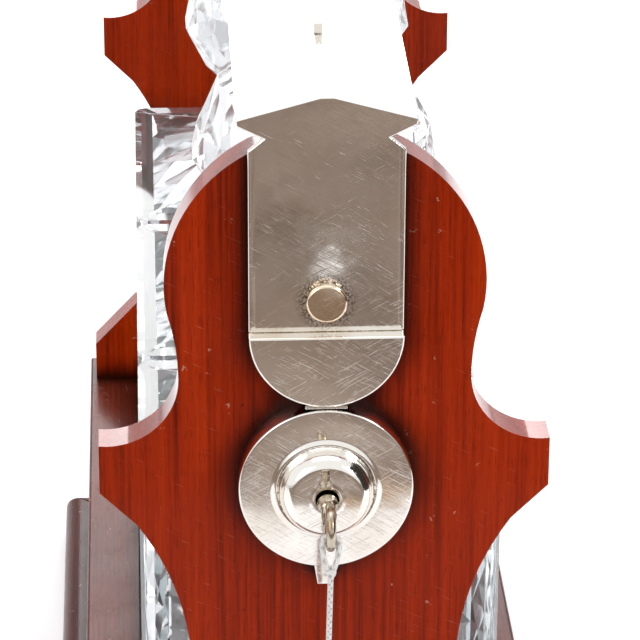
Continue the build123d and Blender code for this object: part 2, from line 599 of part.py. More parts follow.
def build_hinge():
    """The bar's hinge strap, the fixed leaf, the pin and the screws."""
    inner = KNUCKLE_LENGTH / 2
    outer0 = inner + KNUCKLE_GAP
    outer1 = outer0 + KNUCKLE_LENGTH
    top_z = HINGE_Z + KNUCKLE_RADIUS * 0.9
    strap = polygon_plate(head_points(top_z + 1.0, STRAP_HALF_WIDTH), -STRAP_FRONT, -STRAP_BACK)
    tab = block(-STRAP_FRONT, -STRAP_BACK, -inner, inner, HINGE_Z, top_z + 1.0)
    tab -= rod_y(PIN_RADIUS + FIT, -inner - 1, inner + 1, HINGE_X, HINGE_Z)
    strap = strap + tab + knuckle(-inner, inner)
    keep("hinge_strap", strap)

    leaf_back = -OUTER_HALF
    leaf_front = leaf_back - HINGE_LEAF_THICKNESS
    leaf = block(leaf_front, leaf_back, -outer1, outer1, HINGE_Z - HINGE_LEAF_HEIGHT, HINGE_Z - KNUCKLE_RADIUS - 0.6)
    ears = []
    for sy in (-1, 1):
        y0, y1 = sorted((sy * outer0, sy * outer1))
        web = block(HINGE_X, leaf_back, y0, y1, HINGE_Z - KNUCKLE_RADIUS - 0.7, HINGE_Z - 1.2)
        web -= rod_y(PIN_RADIUS + FIT, y0 - 1, y1 + 1, HINGE_X, HINGE_Z)
        ears.append(web + knuckle(y0, y1))
    leaf = leaf + ears[0] + ears[1]
    for y, z in leaf_screw_places():
        leaf -= rod_x(LEAF_SCREW_RADIUS + FIT, leaf_front - 1, leaf_back + 1, y, z)
        leaf -= cone_x(LEAF_SCREW_HEAD + FIT, LEAF_SCREW_RADIUS + FIT, leaf_front, leaf_front + 1.4, y, z)
    keep("hinge_leaf", leaf)
    keep("hinge_pin", rod_y(PIN_RADIUS, -outer1 - 0.6, outer1 + 0.6, HINGE_X, HINGE_Z))
    screws = []
    for y, z in leaf_screw_places():
        shank = rod_x(LEAF_SCREW_RADIUS, leaf_front + 1.4, leaf_front + LEAF_SCREW_LENGTH, y, z)
        head = cone_x(LEAF_SCREW_HEAD, LEAF_SCREW_RADIUS, leaf_front, leaf_front + 1.4, y, z)
        slot = block(leaf_front - 1, leaf_front + 0.6, y - LEAF_SCREW_HEAD, y + LEAF_SCREW_HEAD, z - 0.35, z + 0.35)
        screws.append(shank + head - slot)
    keep("hinge_screws", *screws)


# ---- lock -------------------------------------------------------------------------
def lock_screw_places():
    """The Y and Z of each screw through the lock's back plate."""
    places = []
    for angle in (-150, -30, 180, 0):
        turn = radians(angle)
        places.append((LOCK_SCREW_ORBIT * cos(turn), LOCK_Z + LOCK_SCREW_ORBIT * sin(turn)))
    return places[:2]


def drum():
    """The turned lock cover: a shallow drum with a stepped, hollow boss."""
    solid = rod_x(DRUM_RADIUS, OUTER_HALF, DRUM_FRONT, 0, LOCK_Z)
    solid = fillet(solid.faces().sort_by(Axis.X)[-1].edges(), 0.8)
    flare = [Line((DRUM_FRONT - 0.5, 0), (DRUM_FRONT - 0.5, BOSS_RADIUS)),
             Line((DRUM_FRONT - 0.5, BOSS_RADIUS), (DRUM_FRONT + 0.6, BOSS_RADIUS)),
             ThreePointArc((DRUM_FRONT + 0.6, BOSS_RADIUS), (DRUM_FRONT + 1.9, BOSS_FACE_RADIUS + 1.2),
                           (BOSS_FRONT - 0.8, BOSS_FACE_RADIUS)),
             Line((BOSS_FRONT - 0.8, BOSS_FACE_RADIUS), (BOSS_FRONT, BOSS_FACE_RADIUS - 0.8)),
             Line((BOSS_FRONT, BOSS_FACE_RADIUS - 0.8), (BOSS_FRONT, 0)),
             Line((BOSS_FRONT, 0), (DRUM_FRONT - 0.5, 0))]
    boss = Pos(0, 0, LOCK_Z) * revolve(Plane.XZ * make_face(flare), Axis.X)
    hollow = rod_x(DRUM_RADIUS - DRUM_WALL, OUTER_HALF - 1, DRUM_FRONT - DRUM_WALL, 0, LOCK_Z)
    hollow += rod_x(BOSS_FACE_RADIUS - DRUM_WALL, OUTER_HALF, BOSS_FRONT - DRUM_WALL, 0, LOCK_Z)
    cover = solid + boss - hollow
    cover -= rod_x(KEYHOLE_RADIUS, DRUM_FRONT, BOSS_FRONT + 1, 0, LOCK_Z)
    cover -= block(DRUM_FRONT, BOSS_FRONT + 1, -KEYWAY_WIDTH / 2, KEYWAY_WIDTH / 2, LOCK_Z - KEYWAY_REACH, LOCK_Z)
    side = LINK_SPACING / 2 + LINK_THICKNESS / 2 + 0.6
    cover -= block(OUTER_HALF - 1, DRUM_FRONT - DRUM_WALL, -side, side, LOCK_Z + DRUM_RADIUS - 4, LOCK_Z + DRUM_RADIUS + 1)
    return cover


def bolt():
    """The sliding bolt: a plate with two posts, each with a finger for one link."""
    x0 = LINK_BACK + (LINK_DEPTH - FINGER_DEPTH) / 2
    x1 = x0 + FINGER_DEPTH
    z_low = LINK_EYE_Z - FINGER_HEIGHT / 2
    plate_top = LINK_BOTTOM - 0.4
    link_half = LINK_THICKNESS / 2
    shape = None
    plate_y0 = None
    for side in (-LINK_SPACING / 2, LINK_SPACING / 2):
        tip = side - link_half - 0.35
        post_right = tip - BOLT_TRAVEL - 0.35
        post = block(x0, x1, post_right - POST_WIDTH, post_right, plate_top - 0.5, LINK_EYE_Z + FINGER_HEIGHT / 2)
        finger = block(x0, x1, post_right - 0.1, tip, z_low, z_low + FINGER_HEIGHT)
        piece = post + finger
        shape = piece if shape is None else shape + piece
        if plate_y0 is None:
            plate_y0 = post_right - POST_WIDTH
        plate_y1 = post_right
    plate = block(x0, x1, plate_y0, plate_y1 + 3.5, plate_top - BOLT_PLATE_HEIGHT, plate_top)
    tail_x0 = RECESS_BACK + BACK_PLATE_THICKNESS + 0.3 + CAM_THICKNESS + 0.3
    tail = block(tail_x0, x1, -3.2, 3.2, LOCK_Z + KEY_SHANK_RADIUS + 0.4, plate_top)
    slot_half = CAM_PIN_RADIUS + 0.45
    slot = block(tail_x0 - 1, x1 + 1, -slot_half, slot_half, LOCK_Z, LOCK_Z + CAM_PIN_ORBIT + 1.6)
    return shape + plate + tail - slot


def build_lock():
    """Lock cover, back plate, cam, bolt, lug and screws."""
    keep("lock_cover", drum())
    plate_front = RECESS_BACK + BACK_PLATE_THICKNESS
    back_plate = rod_x(BACK_PLATE_RADIUS, RECESS_BACK, plate_front, 0, LOCK_Z)
    back_plate += rod_x(2.0, plate_front, plate_front + 0.3, 0, LOCK_Z)
    screws = []
    for y, z in lock_screw_places():
        back_plate -= rod_x(LOCK_SCREW_RADIUS + FIT, RECESS_BACK - 1, plate_front + 1, y, z)
        shank = rod_x(LOCK_SCREW_RADIUS, RECESS_BACK - LOCK_SCREW_LENGTH + 0.5, plate_front, y, z)
        head = rod_x(LOCK_SCREW_HEAD, plate_front, plate_front + 1.2, y, z)
        slot = block(plate_front + 0.7, plate_front + 2, y - LOCK_SCREW_HEAD, y + LOCK_SCREW_HEAD, z - 0.3, z + 0.3)
        screws.append(shank + head - slot)
    keep("lock_back_plate", back_plate)
    keep("lock_screws", *screws)

    cam_x0 = plate_front + 0.3
    cam_x1 = cam_x0 + CAM_THICKNESS
    cam = rod_x(CAM_RADIUS, cam_x0, cam_x1, 0, LOCK_Z)
    cam -= rod_x(KEY_SHANK_RADIUS + FIT, cam_x0 + 0.6, cam_x1 + 1, 0, LOCK_Z)
    cam -= block(cam_x0 + 0.6, cam_x1 + 1, -BIT_WIDTH / 2 - FIT, BIT_WIDTH / 2 + FIT,
                 LOCK_Z - BIT_REACH - 0.15, LOCK_Z)
    cam += rod_x(CAM_PIN_RADIUS, cam_x0 + 1, cam_x1 + 3.2, 0, LOCK_Z + CAM_PIN_ORBIT)
    keep("lock_cam", cam)
    keep("lock_bolt", bolt())

    low = LOCK_Z - DRUM_RADIUS
    top_half, tip_half = LUG_WIDTH / 2, LUG_WIDTH / 2 - 1.1
    lug = polygon_plate([(-top_half, low + 1.0), (top_half, low + 1.0), (tip_half, low - LUG_LENGTH),
                         (-tip_half, low - LUG_LENGTH)], OUTER_HALF, OUTER_HALF + LUG_DEPTH)
    lug -= rod_x(DRUM_RADIUS, OUTER_HALF - 1, DRUM_FRONT, 0, LOCK_Z)
    keep("lock_lug", lug)


# ---- key and cord -----------------------------------------------------------------
def build_key():
    """The small key: shank, collar, bit and ring bow."""
    tip = BOSS_FRONT - KEY_INSERTED
    shank = rod_x(KEY_SHANK_RADIUS, tip, BOW_X - BOW_RADIUS + 0.8, 0, LOCK_Z)
    collar = rod_x(COLLAR_RADIUS, BOSS_FRONT + 1.2, BOSS_FRONT + 1.2 + COLLAR_LENGTH, 0, LOCK_Z)
    bow = rod_y(BOW_RADIUS, -BOW_THICKNESS / 2, BOW_THICKNESS / 2, BOW_X, LOCK_Z)
    bow = fillet(bow.edges(), 0.7)
    bow -= rod_y(BOW_HOLE_RADIUS, -BOW_THICKNESS, BOW_THICKNESS, BOW_X, LOCK_Z)
    bit = block(tip, tip + BIT_LENGTH, -BIT_WIDTH / 2, BIT_WIDTH / 2, LOCK_Z - BIT_REACH, LOCK_Z)
    keep("key", shank + collar + bow + bit)


def cord_tube(points, radius, name):
    """A round cord along straight runs joined by arcs, with its sizes printed."""
    turns = []
    for before, at, after in zip(points, points[1:], points[2:]):
        a = Vector(*at) - Vector(*before)
        b = Vector(*after) - Vector(*at)
        turn = radians(a.get_angle(b))
        turns.append(0.45 * min(a.length, b.length) / tan(turn / 2))
    path = FilletPolyline(*points, radius=turns)
    start = Plane(origin=points[0], z_dir=Vector(*points[1]) - Vector(*points[0]))
    tube = sweep(start * Circle(radius), path=path)
    expected = pi * radius ** 2 * path.length
    print(name, "radii", [round(r, 1) for r in turns], "length", round(path.length, 1),
          "volume ratio", round(tube.volume / expected, 4))
    return tube


def build_cord():
    """The key's cord: a loop through the bow, a knot, the hanging line and its end knot."""
    x = BOW_X + BOW_HOLE_RADIUS - CORD_RADIUS - 0.4
    knot_z = LOCK_Z - BOW_RADIUS - 5.0
    up = LOCK_Z - 1.2
    side = BOW_THICKNESS / 2 + CORD_RADIUS + CORD_CLEARANCE
    flat = CORD_KNOT_RADIUS * KNOT_FLAT
    knot_top = knot_z + flat
    loop = [(x, -LOOP_STRAND, knot_top), (x, -side + 0.4, knot_top + 2.8), (x, -side, LOCK_Z - 3.4),
            (x, -side + 0.6, up), (x, side - 0.6, up), (x, side, LOCK_Z - 3.4), (x, side - 0.4, knot_top + 2.8),
            (x, LOOP_STRAND, knot_top)]
    keep("cord_loop", cord_tube(loop, CORD_RADIUS, "cord_loop"))
    knot = Pos(x, 0, knot_z) * Sphere(CORD_KNOT_RADIUS)
    knot &= block(x - 5, x + 5, -5, 5, knot_z - flat, knot_top)
    keep("cord_knot", knot)
    top = knot_z - flat
    drop = CORD_LENGTH / 4
    line = [(x, 0, top), (x + 0.3, -0.5, top - drop), (x - 0.2, -1.3, top - 2 * drop),
            (x + 0.2, -1.9, top - 3 * drop), (x, -2.1, top - 4 * drop)]
    keep("key_cord", cord_tube(line, CORD_RADIUS, "key_cord"))
    end_z = top - 4 * drop - END_KNOT_RADIUS * KNOT_FLAT
    end = Pos(x, -2.1, end_z) * Sphere(END_KNOT_RADIUS)
    end &= block(x - 5, x + 5, -8, 5, end_z - 5, top - 4 * drop)
    keep("cord_end_knot", end)


def main():
    """Build every node and write its STEP file."""
    build_base()
    build_panels()
    build_glass()
    build_bar()
    build_handle()
    build_hinge()
    build_lock()
    build_key()
    build_cord()
    os.makedirs("parts", exist_ok=True)
    for name, shape in NODES.items():
        export_step(shape, f"parts/{name}.step")
    print(len(NODES), "nodes, top", round(RIDGE_TOP + HANDLE_RISE, 1))


main()
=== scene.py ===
"""Looks of an antique three-decanter tantalus, seen from above its lock end. Lengths are in metres."""
import json
import logging
import math
from dataclasses import dataclass
from enum import Enum
from typing import Any, Iterable, Optional, Sequence

import bmesh
import bpy
from mathutils import Matrix, Vector


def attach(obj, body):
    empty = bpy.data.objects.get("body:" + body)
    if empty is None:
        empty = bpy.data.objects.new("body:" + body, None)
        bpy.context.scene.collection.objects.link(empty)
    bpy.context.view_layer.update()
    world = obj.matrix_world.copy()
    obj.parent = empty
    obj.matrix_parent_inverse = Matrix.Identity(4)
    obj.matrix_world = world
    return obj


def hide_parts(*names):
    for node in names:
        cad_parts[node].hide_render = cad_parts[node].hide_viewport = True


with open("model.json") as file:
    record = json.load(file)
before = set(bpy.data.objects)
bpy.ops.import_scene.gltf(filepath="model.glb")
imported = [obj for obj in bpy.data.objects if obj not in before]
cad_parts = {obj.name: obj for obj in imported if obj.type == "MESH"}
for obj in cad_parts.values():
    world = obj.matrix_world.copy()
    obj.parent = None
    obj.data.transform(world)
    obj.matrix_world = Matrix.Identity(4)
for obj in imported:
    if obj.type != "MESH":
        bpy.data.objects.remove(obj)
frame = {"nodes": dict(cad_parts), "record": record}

LOG = logging.getLogger("tantalus")
MM = 0.001
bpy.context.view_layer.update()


# ---- small helpers ------------------------------------------------------------------
def linear(hex_colour: str) -> tuple[float, float, float, float]:
    """Turn an sRGB hex value into a linear colour.

    Args:
        hex_colour: six hex digits after a hash sign.

    Returns:
        Red, green, blue and alpha, linear.
    """
    shares = [int(hex_colour[i:i + 2], 16) / 255 for i in (1, 3, 5)]
    return tuple(s / 12.92 if s <= 0.04045 else ((s + 0.055) / 1.055) ** 2.4 for s in shares) + (1.0,)


def add_node(tree: bpy.types.NodeTree, kind: str, values: Optional[dict[Any, Any]] = None,
             links: Optional[dict[Any, bpy.types.NodeSocket]] = None, **attributes: Any) -> bpy.types.Node:
    """Add a node with its settings and links.

    Args:
        tree: the node tree it goes into.
        kind: the node's type, without the ShaderNode prefix.
        values: input name or number to constant; the key "stops" fills a colour ramp.
        links: input name or number to the socket that feeds it.
        **attributes: the node's own properties.

    Returns:
        The new node.
    """
    node = tree.nodes.new("ShaderNode" + kind)
    for name, value in attributes.items():
        setattr(node, name, value)
    for key, value in (values or {}).items():
        if key == "stops":
            elements = node.color_ramp.elements
            while len(elements) < len(value):
                elements.new(0.5)
            for element, (place, colour) in zip(elements, value):
                element.position = place
                element.color = linear(colour) if isinstance(colour, str) else (colour, colour, colour, 1.0)
        else:
            node.inputs[key].default_value = value
    for key, socket in (links or {}).items():
        tree.links.new(socket, node.inputs[key])
    return node


def new_material(name: str) -> tuple[bpy.types.Material, bpy.types.NodeTree, bpy.types.Node]:
    """Start a material with its output node.

    Args:
        name: the material's name.

    Returns:
        The material, its node tree and its output node.
    """
    material = bpy.data.materials.new(name)
    material.use_nodes = True
    tree = material.node_tree
    tree.nodes.clear()
    return material, tree, tree.nodes.new("ShaderNodeOutputMaterial")


def in_fixed_order(mesh: bmesh.types.BMesh) -> bmesh.types.BMesh:
    """Rebuild a mesh with its vertices and faces in one order, because the operators leave them in a varying one.

    Args:
        mesh: the finished bmesh, which is freed.

    Returns:
        The same shape, ordered by place.
    """
    ordered = sorted(mesh.verts, key=lambda v: tuple(round(c, 7) for c in v.co))
    number = {vert: index for index, vert in enumerate(ordered)}
    rings = []
    for face in mesh.faces:
        ring = [number[v] for v in face.verts]
        start = ring.index(min(ring))
        rings.append((ring[start:] + ring[:start], face.smooth))
    sharp = sorted(tuple(sorted(number[v] for v in edge.verts)) for edge in mesh.edges if not edge.smooth)
    result = bmesh.new()
    verts = [result.verts.new(vert.co) for vert in ordered]
    for ring, smooth in sorted(rings):
        result.faces.new([verts[index] for index in ring]).smooth = smooth
    for pair in sharp:
        result.edges.get([verts[index] for index in pair]).smooth = False
    mesh.free()
    return result


def place_piece(mesh: bmesh.types.BMesh, name: str, body: str, material: bpy.types.Material,
                replaced: Sequence[str] = (), weighted: bool = False) -> bpy.types.Object:
    """Turn a finished mesh into a piece that rides on a body.

    Args:
        mesh: the finished bmesh, which is freed.
        name: the piece's name.
        body: the CAD body that it rides on.
        material: its finish.
        replaced: CAD nodes that it stands for.
        weighted: whether large faces keep their own normals over the rounded edges.

    Returns:
        The new object.
    """
    mesh = in_fixed_order(mesh)
    data = bpy.data.meshes.new(name)
    mesh.to_mesh(data)
    mesh.free()
    piece = bpy.data.objects.new(name, data)
    bpy.context.scene.collection.objects.link(piece)
    data.materials.append(material)
    if weighted:
        modifier = piece.modifiers.new("face_weight", "WEIGHTED_NORMAL")
        modifier.keep_sharp = True
    ride_and_name(piece, body, replaced)
    return piece


def ride_and_name(piece: bpy.types.Object, body: str, replaced: Sequence[str]) -> None:
    """Let a piece ride on its body and hide what it stands for.

    Args:
        piece: the finished object.
        body: the CAD body.
        replaced: CAD nodes that it stands for.
    """
    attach(piece, body)
    if replaced:
        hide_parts(*replaced)
    LOG.info("%s rides on %s", piece.name, body)


def body_of_node(node: str) -> str:
    """Name the CAD body that a node belongs to."""
    bodies = frame["record"]["behaviour"]["bodies"]
    return next(name for name, nodes in bodies.items() if node in nodes)


def extrude_ring(mesh: bmesh.types.BMesh, face: bmesh.types.BMFace) -> tuple[bmesh.types.BMFace, list]:
    """Extrude one face without moving it.

    Args:
        mesh: the bmesh.
        face: the cap to extrude.

    Returns:
        The new cap and its vertices.
    """
    made = bmesh.ops.extrude_face_region(mesh, geom=[face])["geom"]
    cap = next(g for g in made if isinstance(g, bmesh.types.BMFace))
    if face.is_valid:
        bmesh.ops.delete(mesh, geom=[face], context="FACES_ONLY")
    return cap, list(cap.verts)


def lay_on_circle(verts: Sequence[bmesh.types.BMVert], radius: float, z: float, turn: float = 0.0) -> None:
    """Spread a ring of vertices evenly on a level circle, in the order of their angles.

    Args:
        verts: the ring.
        radius: the circle's radius.
        z: its height.
        turn: how far the ring is turned, in shares of one step.
    """
    ordered = sorted(verts, key=lambda v: math.atan2(v.co.y, v.co.x) % math.tau)
    step = math.tau / len(ordered)
    for index, vert in enumerate(ordered):
        angle = (index + 0.5 + turn) * step
        vert.co = Vector((radius * math.cos(angle), radius * math.sin(angle), z))


def lay_on_square(verts: Sequence[bmesh.types.BMVert], half: float, z: float, power: float = 7.0) -> None:
    """Move a ring of vertices along their own directions onto a level square with soft corners.

    Args:
        verts: the ring.
        half: half the square's width.
        z: its height.
        power: how sharp the corners are.
    """
    for vert in verts:
        angle = math.atan2(vert.co.y, vert.co.x)
        across, up = math.cos(angle), math.sin(angle)
        reach = half / (abs(across) ** power + abs(up) ** power) ** (1 / power)
        vert.co = Vector((reach * across, reach * up, z))


def soften_edges(mesh: bmesh.types.BMesh, width: float, segments: int = 3, least: float = 32.0) -> None:
    """Round every edge of a mesh that is sharper than an angle, and shade it smooth.

    Args:
        mesh: the bmesh.
        width: the rounding's width.
        segments: its steps.
        least: the least angle between two faces, in degrees.
    """
    sharp = [e for e in mesh.edges if len(e.link_faces) == 2 and e.calc_face_angle(0) > math.radians(least)]
    bmesh.ops.bevel(mesh, geom=sharp, offset=width, offset_type="OFFSET", segments=segments, profile=0.5,
                    affect="EDGES", material=-1, clamp_overlap=True)
    for face in mesh.faces:
        face.smooth = True
    for edge in mesh.edges:
        if len(edge.link_faces) == 2 and edge.calc_face_angle(0) > math.radians(55):
            edge.smooth = False


def plain_copy(node: str) -> bmesh.types.BMesh:
    """Copy a CAD node's mesh and join its triangles.

    Args:
        node: the CAD node.

    Returns:
        The bmesh.
    """
    mesh = bmesh.new()
    mesh.from_mesh(frame["nodes"][node].data)
    bmesh.ops.remove_doubles(mesh, verts=mesh.verts, dist=1e-6)
    bmesh.ops.dissolve_limit(mesh, angle_limit=math.radians(0.5), verts=mesh.verts, edges=mesh.edges)
    return mesh


def softened_copy(node: str, width: float, segments: int = 3) -> bmesh.types.BMesh:
    """Copy a CAD node's mesh and round its edges.

    Args:
        node: the CAD node.
        width: the rounding's width.
        segments: its steps.

    Returns:
        The softened bmesh.
    """
    mesh = plain_copy(node)
    soften_edges(mesh, width, segments)
    return mesh


def face_outwards(mesh: bmesh.types.BMesh) -> None:
    """Make every face of a closed mesh look outwards; a hollow body can come out of the first step inside out.

    Args:
        mesh: the closed bmesh.
    """
    bmesh.ops.recalc_face_normals(mesh, faces=mesh.faces)
    if mesh.calc_volume(signed=True) < 0:
        bmesh.ops.reverse_faces(mesh, faces=mesh.faces)


def turned_about_x(profile: Sequence[tuple[float, float]], y: float, z: float, steps: int = 96) -> bmesh.types.BMesh:
    """Turn a profile about a line along X.

    Args:
        profile: points of distance from the axis and place along X.
        y: the axis's Y.
        z: the axis's Z.
        steps: steps of the full turn.

    Returns:
        The turned bmesh.
    """
    mesh = bmesh.new()
    verts = [mesh.verts.new((x, y, z + radius)) for radius, x in profile]
    edges = [mesh.edges.new(pair) for pair in zip(verts, verts[1:])]
    bmesh.ops.spin(mesh, geom=verts + edges, cent=(0.0, y, z), axis=(1.0, 0.0, 0.0), angle=math.tau,
                   steps=steps, use_merge=True, use_duplicate=False)
    bmesh.ops.remove_doubles(mesh, verts=mesh.verts, dist=1e-6)
    face_outwards(mesh)
    return mesh


def without_boxes(mesh: bmesh.types.BMesh, boxes: Sequence[tuple[Sequence[float], Sequence[float]]]) -> bmesh.types.BMesh:
    """Cut boxes out of a closed mesh.

    Args:
        mesh: the closed bmesh, which is freed.
        boxes: the low and high corners of each box.

    Returns:
        The cut bmesh.
    """
    data = bpy.data.meshes.new("uncut")
    mesh.to_mesh(data)
    mesh.free()
    blank = bpy.data.objects.new("uncut", data)
    scraps = [blank]
    bpy.context.scene.collection.objects.link(blank)
    for low, high in boxes:
        block = bmesh.new()
        middle = Matrix.Translation([(a + b) / 2 for a, b in zip(low, high)])
        bmesh.ops.create_cube(block, size=1.0, matrix=middle @ Matrix.Diagonal([b - a for a, b in zip(low, high)] + [1]))
        block_data = bpy.data.meshes.new("cutter")
        block.to_mesh(block_data)
        block.free()
        cutter = bpy.data.objects.new("cutter", block_data)
        bpy.context.scene.collection.objects.link(cutter)
        scraps.append(cutter)
        cut = blank.modifiers.new("cut", "BOOLEAN")
        cut.operation, cut.solver, cut.object = "DIFFERENCE", "EXACT", cutter
    result = bmesh.new()
    result.from_mesh(blank.evaluated_get(bpy.context.evaluated_depsgraph_get()).to_mesh())
    for scrap in scraps:
        bpy.data.objects.remove(scrap)
    return result


# ---- finishes -----------------------------------------------------------------------
class Grain(Enum):
    """The direction in which a board's grain runs."""

    ALONG_X = 0
    ALONG_Y = 1
    ALONG_Z = 2


def grain_scale(grain: Grain, across: float, along: float) -> tuple[float, float, float]:
    """Give the pattern's scale along each axis.

    Args:
        grain: the grain's direction.
        across: repeats in a metre across the grain.
        along: repeats in a metre along it.

    Returns:
        The scale on X, Y and Z.
    """
    return tuple(along if axis == grain.value else across for axis in range(3))


@dataclass(frozen=True)
class PolishedMahogany:
    """Red mahogany, planed and French polished: warm streaks under a clear, slightly worn gloss."""

    name: str
    grain: Grain
    dark: str = "#641602"
    middle: str = "#A12801"
    light: str = "#B83302"
    bruise: str = "#2A0A05"
    rub: str = "#D9A58C"
    # the colour of the painted shade beside fittings and in corners
    painted_shade: str = "#200702"
    ribbon: float = 11 * MM       # width of one ribbon of figure
    ribbon_length: float = 300 * MM
    streak: float = 0.9 * MM      # width of a streak
    streak_length: float = 48 * MM
    pore: float = 0.4 * MM        # pores are finer; drawn as coarse as they need to show
    pore_length: float = 5 * MM
    pit_spacing: float = 9 * MM
    rub_spacing: float = 5.5 * MM
    scratch: float = 0.22 * MM
    scratch_length: float = 7 * MM
    wear_spacing: float = 22 * MM
    painted_shade_reach: float = 9 * MM   # how far the painted shade beside a fitting reaches
    edge_gloss: float = 0.06       # how much of the coat shows at a slant
    through: tuple[float, float, float] = (1.0, 1.0, 1.0)   # a 0 draws the marks straight through that axis

    def build(self) -> bpy.types.Material:
        """Make the material."""
        material, tree, output = new_material(self.name)
        place = add_node(tree, "TexCoord").outputs["Object"]
        pores = add_node(tree, "MapRange", {1: 0.58, 2: 0.70, 3: 0.0, 4: 1.0},
                         {0: self.noise(tree, place, self.pore, self.pore_length, 1.0, 0.0)}).outputs[0]
        wood = self.figured_wood(tree, place, pores)
        marked, sunk = self.marks(tree, place, wood, pores)
        # painted shade: ambient occlusion darkens the wood beside fittings and in corners, in place of their shadows
        hidden = add_node(tree, "AmbientOcclusion", {"Distance": self.painted_shade_reach}, samples=8).outputs["AO"]
        shade_share = add_node(tree, "MapRange", {1: 0.95, 2: 0.6, 3: 0.0, 4: 0.95}, {0: hidden}).outputs[0]
        colour = add_node(tree, "Mix", {7: linear(self.painted_shade)}, {0: shade_share, 6: marked}, data_type="RGBA").outputs[2]
        wear = add_node(tree, "TexNoise", {"Scale": 1 / self.wear_spacing, "Detail": 3.0, "Roughness": 0.6},
                        {"Vector": place}).outputs["Fac"]
        rough = add_node(tree, "MapRange", {1: 0.35, 2: 0.75, 3: 0.18, 4: 0.36}, {0: wear}).outputs[0]
        bump = add_node(tree, "Bump", {"Strength": 0.25, "Distance": 0.15 * MM}, {"Height": sunk}).outputs["Normal"]
        slant = add_node(tree, "LayerWeight", {"Blend": 0.5}).outputs["Facing"]
        coat = add_node(tree, "MapRange", {1: 0.3, 2: 0.6, 3: 0.05, 4: self.edge_gloss}, {0: slant}).outputs[0]
        shader = add_node(tree, "BsdfPrincipled", {"IOR": 1.5, "Specular IOR Level": 0.08, "Coat Roughness": 0.07},
                          {"Base Color": colour, "Roughness": rough, "Coat Weight": coat, "Normal": bump})
        tree.links.new(shader.outputs[0], output.inputs["Surface"])
        return material

    def figured_wood(self, tree: bpy.types.NodeTree, place: bpy.types.NodeSocket,
                     pores: bpy.types.NodeSocket) -> bpy.types.NodeSocket:
        """Colour the ribbons, the streaks and the pores."""
        figure = self.noise(tree, place, self.ribbon, self.ribbon_length, 3.0, 0.6)
        streaks = self.noise(tree, place, self.streak, self.streak_length, 4.0, 0.2)
        both = add_node(tree, "Mix", {0: 0.5}, {2: figure, 3: streaks}, data_type="FLOAT").outputs[0]
        body = add_node(tree, "ValToRGB", {"stops": [(0.33, self.dark), (0.49, self.middle), (0.66, self.light)]},
                        {"Fac": both}).outputs["Color"]
        depth = add_node(tree, "Math", {1: 0.45}, {0: pores}, operation="MULTIPLY").outputs[0]
        return add_node(tree, "Mix", {7: linear(self.dark)}, {0: depth, 6: body}, data_type="RGBA").outputs[2]

    def noise(self, tree: bpy.types.NodeTree, place: bpy.types.NodeSocket, across: float, along: float,
              detail: float, warp: float) -> bpy.types.NodeSocket:
        """Give one layer of noise that is drawn out along the grain."""
        scale = grain_scale(self.grain, 1 / across, 1 / along)
        stretched = add_node(tree, "Mapping", {"Scale": scale}, {"Vector": place}).outputs[0]
        values = {"Scale": 1.0, "Detail": detail, "Roughness": 0.55, "Distortion": warp}
        return add_node(tree, "TexNoise", values, {"Vector": stretched}).outputs["Fac"]

    def marks(self, tree: bpy.types.NodeTree, place: bpy.types.NodeSocket, wood: bpy.types.NodeSocket,
              pores: bpy.types.NodeSocket) -> tuple[bpy.types.NodeSocket, bpy.types.NodeSocket]:
        """Add pale rubs, fine scratches and dark pits, and give the colour and the height."""
        flat = add_node(tree, "Mapping", {"Scale": self.through}, {"Vector": place}).outputs[0]
        rubs = self.spots(tree, flat, self.rub_spacing, 0.10, 0.5)
        pits = self.spots(tree, flat, self.pit_spacing, 0.0, 0.8)
        lines = scratch_lines(tree, place, 64.0, self.scratch, self.scratch_length, 0.70)
        faint = add_node(tree, "Math", {1: 0.45}, {0: lines}, operation="MULTIPLY").outputs[0]
        pale = add_node(tree, "Math", {}, {0: rubs, 1: faint}, operation="MAXIMUM").outputs[0]
        rubbed = add_node(tree, "Mix", {7: linear(self.rub)}, {0: pale, 6: wood}, data_type="RGBA").outputs[2]
        colour = add_node(tree, "Mix", {7: linear(self.bruise)}, {0: pits, 6: rubbed}, data_type="RGBA").outputs[2]
        height = add_node(tree, "Math", {1: -0.5}, {0: pores}, operation="MULTIPLY").outputs[0]
        sunk = add_node(tree, "Math", {}, {0: height, 1: pits}, operation="SUBTRACT").outputs[0]
        return colour, sunk

    @staticmethod
    def spots(tree: bpy.types.NodeTree, place: bpy.types.NodeSocket, spacing: float, reach: float,
              strength: float) -> bpy.types.NodeSocket:
        """Give a mask of scattered spots with a broken outline, about one in three cells."""
        ragged = add_node(tree, "TexNoise", {"Scale": 7.0 / spacing, "Detail": 4.0}, {"Vector": place})
        cells = add_node(tree, "TexVoronoi", {"Scale": 1 / spacing, "Randomness": 1.0}, {"Vector": place})
        spread = add_node(tree, "Math", {1: 0.9, 2: -0.42}, {0: ragged.outputs["Fac"]}, operation="MULTIPLY_ADD")
        distance = add_node(tree, "Math", {}, {0: cells.outputs["Distance"], 1: spread.outputs[0]}, operation="ADD")
        spot = add_node(tree, "MapRange", {1: reach, 2: reach - 0.06, 3: 0.0, 4: strength}, {0: distance.outputs[0]})
        chosen = add_node(tree, "Math", {1: 0.55}, {0: cells.outputs["Color"]}, operation="GREATER_THAN")
        return add_node(tree, "Math", {}, {0: spot.outputs[0], 1: chosen.outputs[0]}, operation="MULTIPLY").outputs[0]


